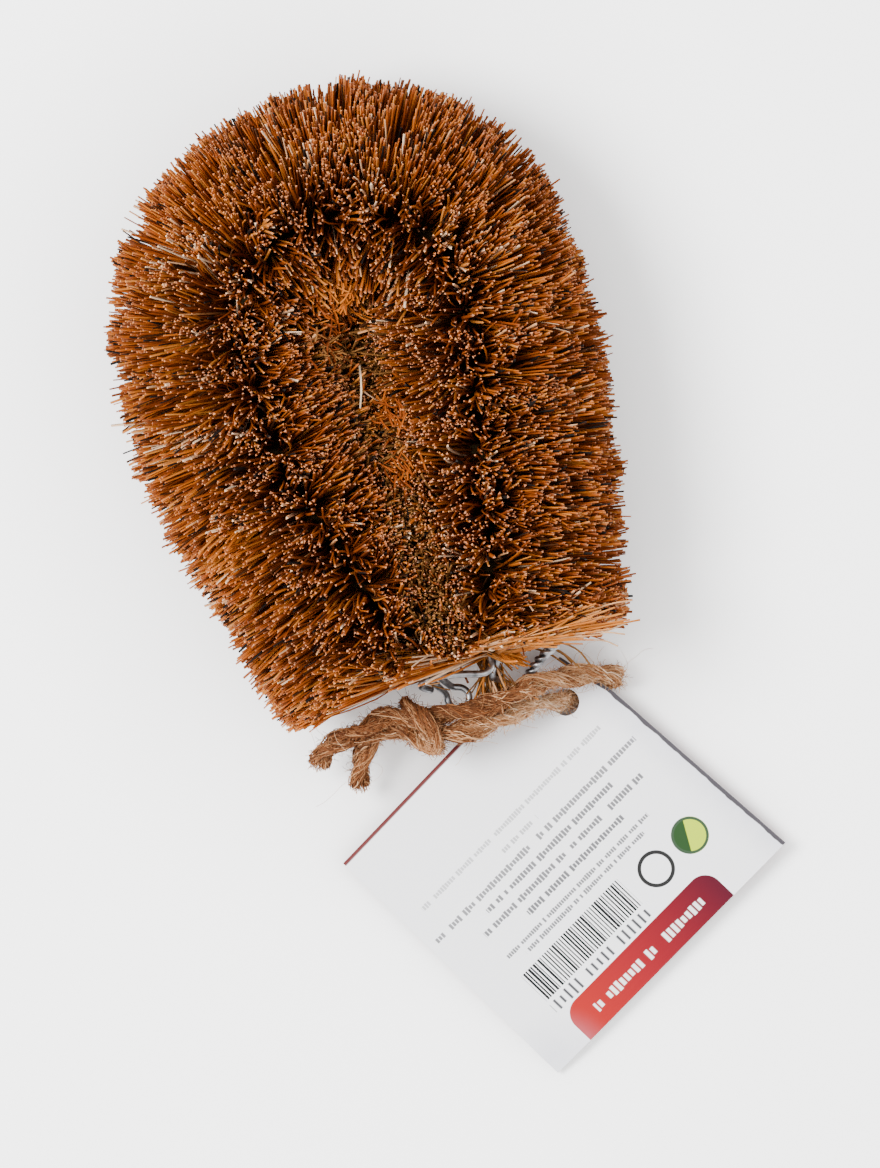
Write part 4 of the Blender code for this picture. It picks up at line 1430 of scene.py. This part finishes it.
# Printing on the front leaf, in millimetres from the fold's left end and from the fold. A
# row of strokes has its depth, start, end, size and strength.
TEXT_ROWS = (
    (16.0, 4.0, 51.0, 0.9, 0.50), (19.2, 22.0, 31.0, 0.9, 0.55), (22.0, 1.5, 54.0, 1.1, 0.80),
    (24.8, 12.0, 45.0, 1.1, 0.85), (27.6, 8.5, 50.0, 1.1, 0.85), (30.4, 17.0, 42.0, 1.1, 0.88),
    (33.4, 8.5, 45.5, 0.8, 0.85), (35.2, 11.5, 42.5, 0.8, 0.85), (46.0, 7.4, 33.2, 2.1, 0.97),
)
INK_EDGE = 0.06                  # half of the width over which an ink's edge fades
STROKE_CELL = 0.66
STROKE_FILL = 0.80
STROKE_HEIGHTS = (0.65, 0.6)     # of a stroke's full height: the least, and what chance adds
STROKE_GAP = 0.14                # share of the strokes' places that stay blank
DIGIT_SIZE = 2.1
DIGIT_FILL = 0.42
CODE_BLOCK = (7.6, 32.9, 37.6, 44.2)  # left, right, top and bottom
CODE_CELL = 0.62
BAR_WIDTHS = (0.30, 0.5)         # of a cell: the least, and what chance adds
BAND_BLOCK = (8.0, 45.7, 47.7, 3.4)  # left, right, top, and its corners' radius
BAND_ROW = (1.15, 51.6, 13.0, 41.0, 0.85, 0.72)
BAND_STOPS = (
    (0.0, (0.36, 0.012, 0.009)), (0.45, (0.24, 0.005, 0.011)),
    (1.0, (0.065, 0.002, 0.011)),
)
DISC_CENTRE = (48.1, 41.6)
DISC_RADIUS = 3.5
DISC_RIM = (0.20, 0.30)          # half of its width, and where it has faded out
RING_CENTRE = (39.3, 41.5)
RING_RADIUS = 3.1
RING_LINE = (0.30, 0.42)         # the same of the ring
FOLD_INK = 0.62                  # of the cover's ink that shows over the fold
# Painted shadow and shade along the front leaf's edges, in the same millimetres
EDGE_SHADOW = 0.80                  # of the dark line painted along the right edge as its shadow
EDGE_ENDS = (54.9, 56.9)         # where the two stretches of that edge meet the fold
EDGE_SLOPES = (0.195, 0.0432)
# Painted shade and reflection in lavender grey, near the right edge and round the far corner
EDGE_SHADE_WIDTH = 7.0
FAR_CORNER = (0.0, 55.0)
CORNER_SHADE_REACH = 13.0


class Printing:
    """The card's coating, on which ink and painted shade are laid by their place in
    millimetres from the left end of the fold."""

    def __init__(self, finish, paper):
        across, up = finish.own_map("card")
        self.finish = finish
        self.shade = paper
        self.x = across * (CARD_LENGTH / MM)
        self.y = (up - 0.5) * (2 * CARD_WIDTH / MM)

    def lay_colour(self, amount, shade):
        self.shade = self.finish.mix(amount, self.shade, shade)

    def cells(self, size):
        """Which cell of a row each place is in, and how far through it."""
        cell = (self.x * (1.0 / size)).whole()
        return cell, self.x * (1.0 / size) - cell

    def strokes(self, size, depth, start, end, half_height, fill):
        """A row of short upright strokes, each of its own height."""
        cell, part = self.cells(size)
        chance = self.finish.node("ShaderNodeTexWhiteNoise", {"noise_dimensions": "2D"},
                                  {"Vector": self.finish.vector(cell, depth)})
        tall = (STROKE_HEIGHTS[0] + chance * STROKE_HEIGHTS[1]) * half_height
        row = 1.0 - ((self.y - depth).size() - tall).rise(-0.05, 0.05)
        stroke = row * band(part, INK_EDGE, fill, 0.1)
        return stroke * band(self.x, start, end, INK_EDGE) * chance.above(STROKE_GAP)

    def from_ring(self, centre, radius):
        """How far outside a ring each place is."""
        dx = self.x - centre[0]
        dy = self.y - centre[1]
        return (dx * dx + dy * dy).power(0.5) - radius

    def rows(self):
        for depth, start, end, size, strength in TEXT_ROWS:
            fill = DIGIT_FILL if size == DIGIT_SIZE else STROKE_FILL
            lay_colour = self.strokes(STROKE_CELL * size, depth, start, end, 0.5 * size, fill)
            self.lay_colour(lay_colour * strength, colour(0.02, 0.02, 0.025))

    def bars(self):
        left, right, near, far = CODE_BLOCK
        cell, part = self.cells(CODE_CELL)
        wide = part.below(BAR_WIDTHS[0] + self.finish.chance(cell) * BAR_WIDTHS[1])
        bars = band(self.x, left, right, 0.02) * band(self.y, near, far, 0.05) * wide
        self.lay_colour(bars, colour(0.006, 0.006, 0.007))

    def coloured_band(self):
        left, right, near, corner = BAND_BLOCK
        dx = ((self.x - (left + right) / 2).size() - ((right - left) / 2 - corner)).larger(0.0)
        dy = ((near + corner) - self.y).larger(0.0)
        edge = (dx * dx + dy * dy).power(0.5)
        inside = 1.0 - edge.rise(corner - INK_EDGE, corner + INK_EDGE)
        run = (self.x - left) / (right - left)
        lay_colour = self.finish.node("ShaderNodeValToRGB", {"stops": BAND_STOPS}, {0: run})
        lay_colour = self.finish.mix(self.strokes(*BAND_ROW), lay_colour, colour(0.86, 0.84, 0.84))
        self.lay_colour(inside * self.y.above(0.0), lay_colour)

    def badges(self):
        disc = self.from_ring(DISC_CENTRE, DISC_RADIUS)
        slope = self.x - DISC_CENTRE[0] + (self.y - DISC_CENTRE[1]) * 0.6
        half = self.finish.mix(slope.rise(-0.7, -0.5), colour(0.016, 0.050, 0.012),
                               colour(0.42, 0.56, 0.012))
        self.lay_colour(1.0 - disc.rise(-INK_EDGE, INK_EDGE), half)
        rim = 1.0 - (disc + DISC_RIM[1]).size().rise(*DISC_RIM)
        self.lay_colour(rim, colour(0.03, 0.06, 0.03))
        loop = 1.0 - self.from_ring(RING_CENTRE, RING_RADIUS).size().rise(*RING_LINE)
        self.lay_colour(loop, colour(0.015, 0.015, 0.015))

    def shade_edges_and_cover(self):
        """Painted shade by the right edge and the far corner, a painted shadow line along
        that edge, and the cover over the fold.
        """
        shade_noise = self.finish.noise(self.finish.vector(self.x * 0.30, self.y * 0.30), 1.0, 3.0)
        first, second = [self.y * slope for slope in EDGE_SLOPES]
        side = (EDGE_ENDS[0] + first).smaller(EDGE_ENDS[1] + second)
        # painted shadow: a dark line along the right edge, where the card's edge casts its shadow
        painted_lighting = (self.x - side + EDGE_SHADOW * (0.4 + shade_noise)).rise(-0.05, 0.07) * self.y.above(2.0)
        # painted shade and reflection near the right edge and the far corner
        corner = self.from_ring(FAR_CORNER, 0.0).rise(3.0, CORNER_SHADE_REACH)
        edge_shade = (1.0 - (side - self.x).rise(0.0, EDGE_SHADE_WIDTH)).larger(0.8 - corner * 0.8)
        self.lay_colour(edge_shade * (0.20 + shade_noise * 0.30), colour(0.42, 0.42, 0.53))
        self.lay_colour(painted_lighting * 0.95, colour(0.020, 0.014, 0.020))
        cover = self.finish.mix(self.y.rise(-45.0, 0.0), colour(0.26, 0.008, 0.012),
                                colour(0.10, 0.016, 0.016))
        self.lay_colour(1.0 - self.y.rise(FOLD_INK - 0.08, FOLD_INK + 0.08), cover)


def band(value, low, high, soft):
    """1 from low to high and 0 beyond them, with soft edges."""
    return value.rise(low - soft, low + soft) * (1.0 - value.rise(high - soft, high + soft))


def printed_card_finish():
    """White coated card with its printing, its crimson cover and painted shade at its edges."""
    finish = Finish("printed_card")
    fibre = finish.noise(finish.place(), 3000.0, 3.0)
    paper = finish.mix(fibre, colour(0.90, 0.905, 0.93), colour(0.95, 0.95, 0.97))
    printing = Printing(finish, paper)
    printing.rows()
    printing.bars()
    printing.coloured_band()
    printing.badges()
    printing.shade_edges_and_cover()
    return finish.surface(Base_Color=printing.shade, Roughness=0.42 + fibre * 0.12,
                          Specular_IOR_Level=0.12,
                          Normal=finish.bump(fibre, 0.01 * MM))


def plain_card_finish():
    """The card's bare side and its cut edges."""
    finish = Finish("plain_card")
    fibre = finish.noise(finish.place(), 1800.0, 4.0)
    shade = finish.mix(fibre, colour(0.78, 0.77, 0.76), colour(0.88, 0.87, 0.87))
    return finish.surface(Base_Color=shade, Roughness=0.8, Normal=finish.bump(fibre, 0.02 * MM))


def add_floor():
    """A white table that glows but where something stands close over it."""
    bpy.ops.mesh.primitive_circle_add(vertices=96, radius=FLOOR_RADIUS, fill_type="NGON")
    floor = bpy.context.object
    floor.name = "floor"
    finish = Finish("pale_floor")
    open_sky = finish.node("ShaderNodeAmbientOcclusion", {"samples": 8},
                           {"Distance": CONTACT_REACH}, output=1)
    floor.data.materials.append(finish.surface(
        Base_Color=colour(0.94, 0.94, 0.94), Roughness=0.9, Specular_IOR_Level=0.1,
        Emission_Color=colour(1.0, 1.0, 1.0), Emission_Strength=open_sky.power(2.0) * 1.4))


def add_light(name, place, size, power):
    """A round area light that faces the brush."""
    light = bpy.data.lights.new(name, "AREA")
    light.shape = "DISK"
    light.size = size
    light.energy = power
    lamp = add_piece(name, light)
    lamp.location = place
    facing = Vector(LIGHT_TARGET) - Vector(place)
    lamp.rotation_euler = facing.to_track_quat("-Z", "Y").to_euler()


def add_studio():
    add_floor()
    for light in LIGHTS:
        add_light(*light)
    world = bpy.data.worlds.new("studio")
    bpy.context.scene.world = world
    world.use_nodes = True
    background = world.node_tree.nodes["Background"]
    background.inputs["Color"].default_value = colour(1.0, 1.0, 1.0)
    background.inputs["Strength"].default_value = SKY_STRENGTH


def add_camera():
    """The photograph's view, from straight above and far enough to look flat."""
    lens = bpy.data.cameras.new("photo_camera")
    lens.lens = lens.sensor_width * VIEW_DISTANCE / (PHOTO_PIXELS[1] * PIXEL_SIZE)
    lens.clip_start = 0.1
    lens.clip_end = 20.0
    camera = add_piece("photo_camera", lens)
    camera.location = (*VIEW_MIDDLE, VIEW_DISTANCE)
    camera.rotation_euler = (0.0, 0.0, VIEW_ROLL)
    bpy.context.scene.camera = camera


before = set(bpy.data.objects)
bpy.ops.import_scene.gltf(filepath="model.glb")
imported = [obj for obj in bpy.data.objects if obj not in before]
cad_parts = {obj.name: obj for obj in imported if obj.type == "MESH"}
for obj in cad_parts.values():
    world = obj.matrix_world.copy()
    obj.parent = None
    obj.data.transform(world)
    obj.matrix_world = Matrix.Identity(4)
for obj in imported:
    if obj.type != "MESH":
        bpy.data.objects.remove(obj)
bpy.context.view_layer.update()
FIBRE_NODES = tube_tree()
add_camera()
add_studio()
add_twine(jute_finish())
stem_line = Stem()
coir = coir_finish()
coir_tips = add_coir(stem_line, coir)
add_mats(coir_tips, coir)
add_straws(coir)
add_wisps(coir)
add_core(stem_line, root_finish())
zinc = zinc_finish()
add_wire(stem_line, zinc)
add_wire_tail(zinc)
add_card(printed_card_finish(), plain_card_finish())
bpy.context.view_layer.update()
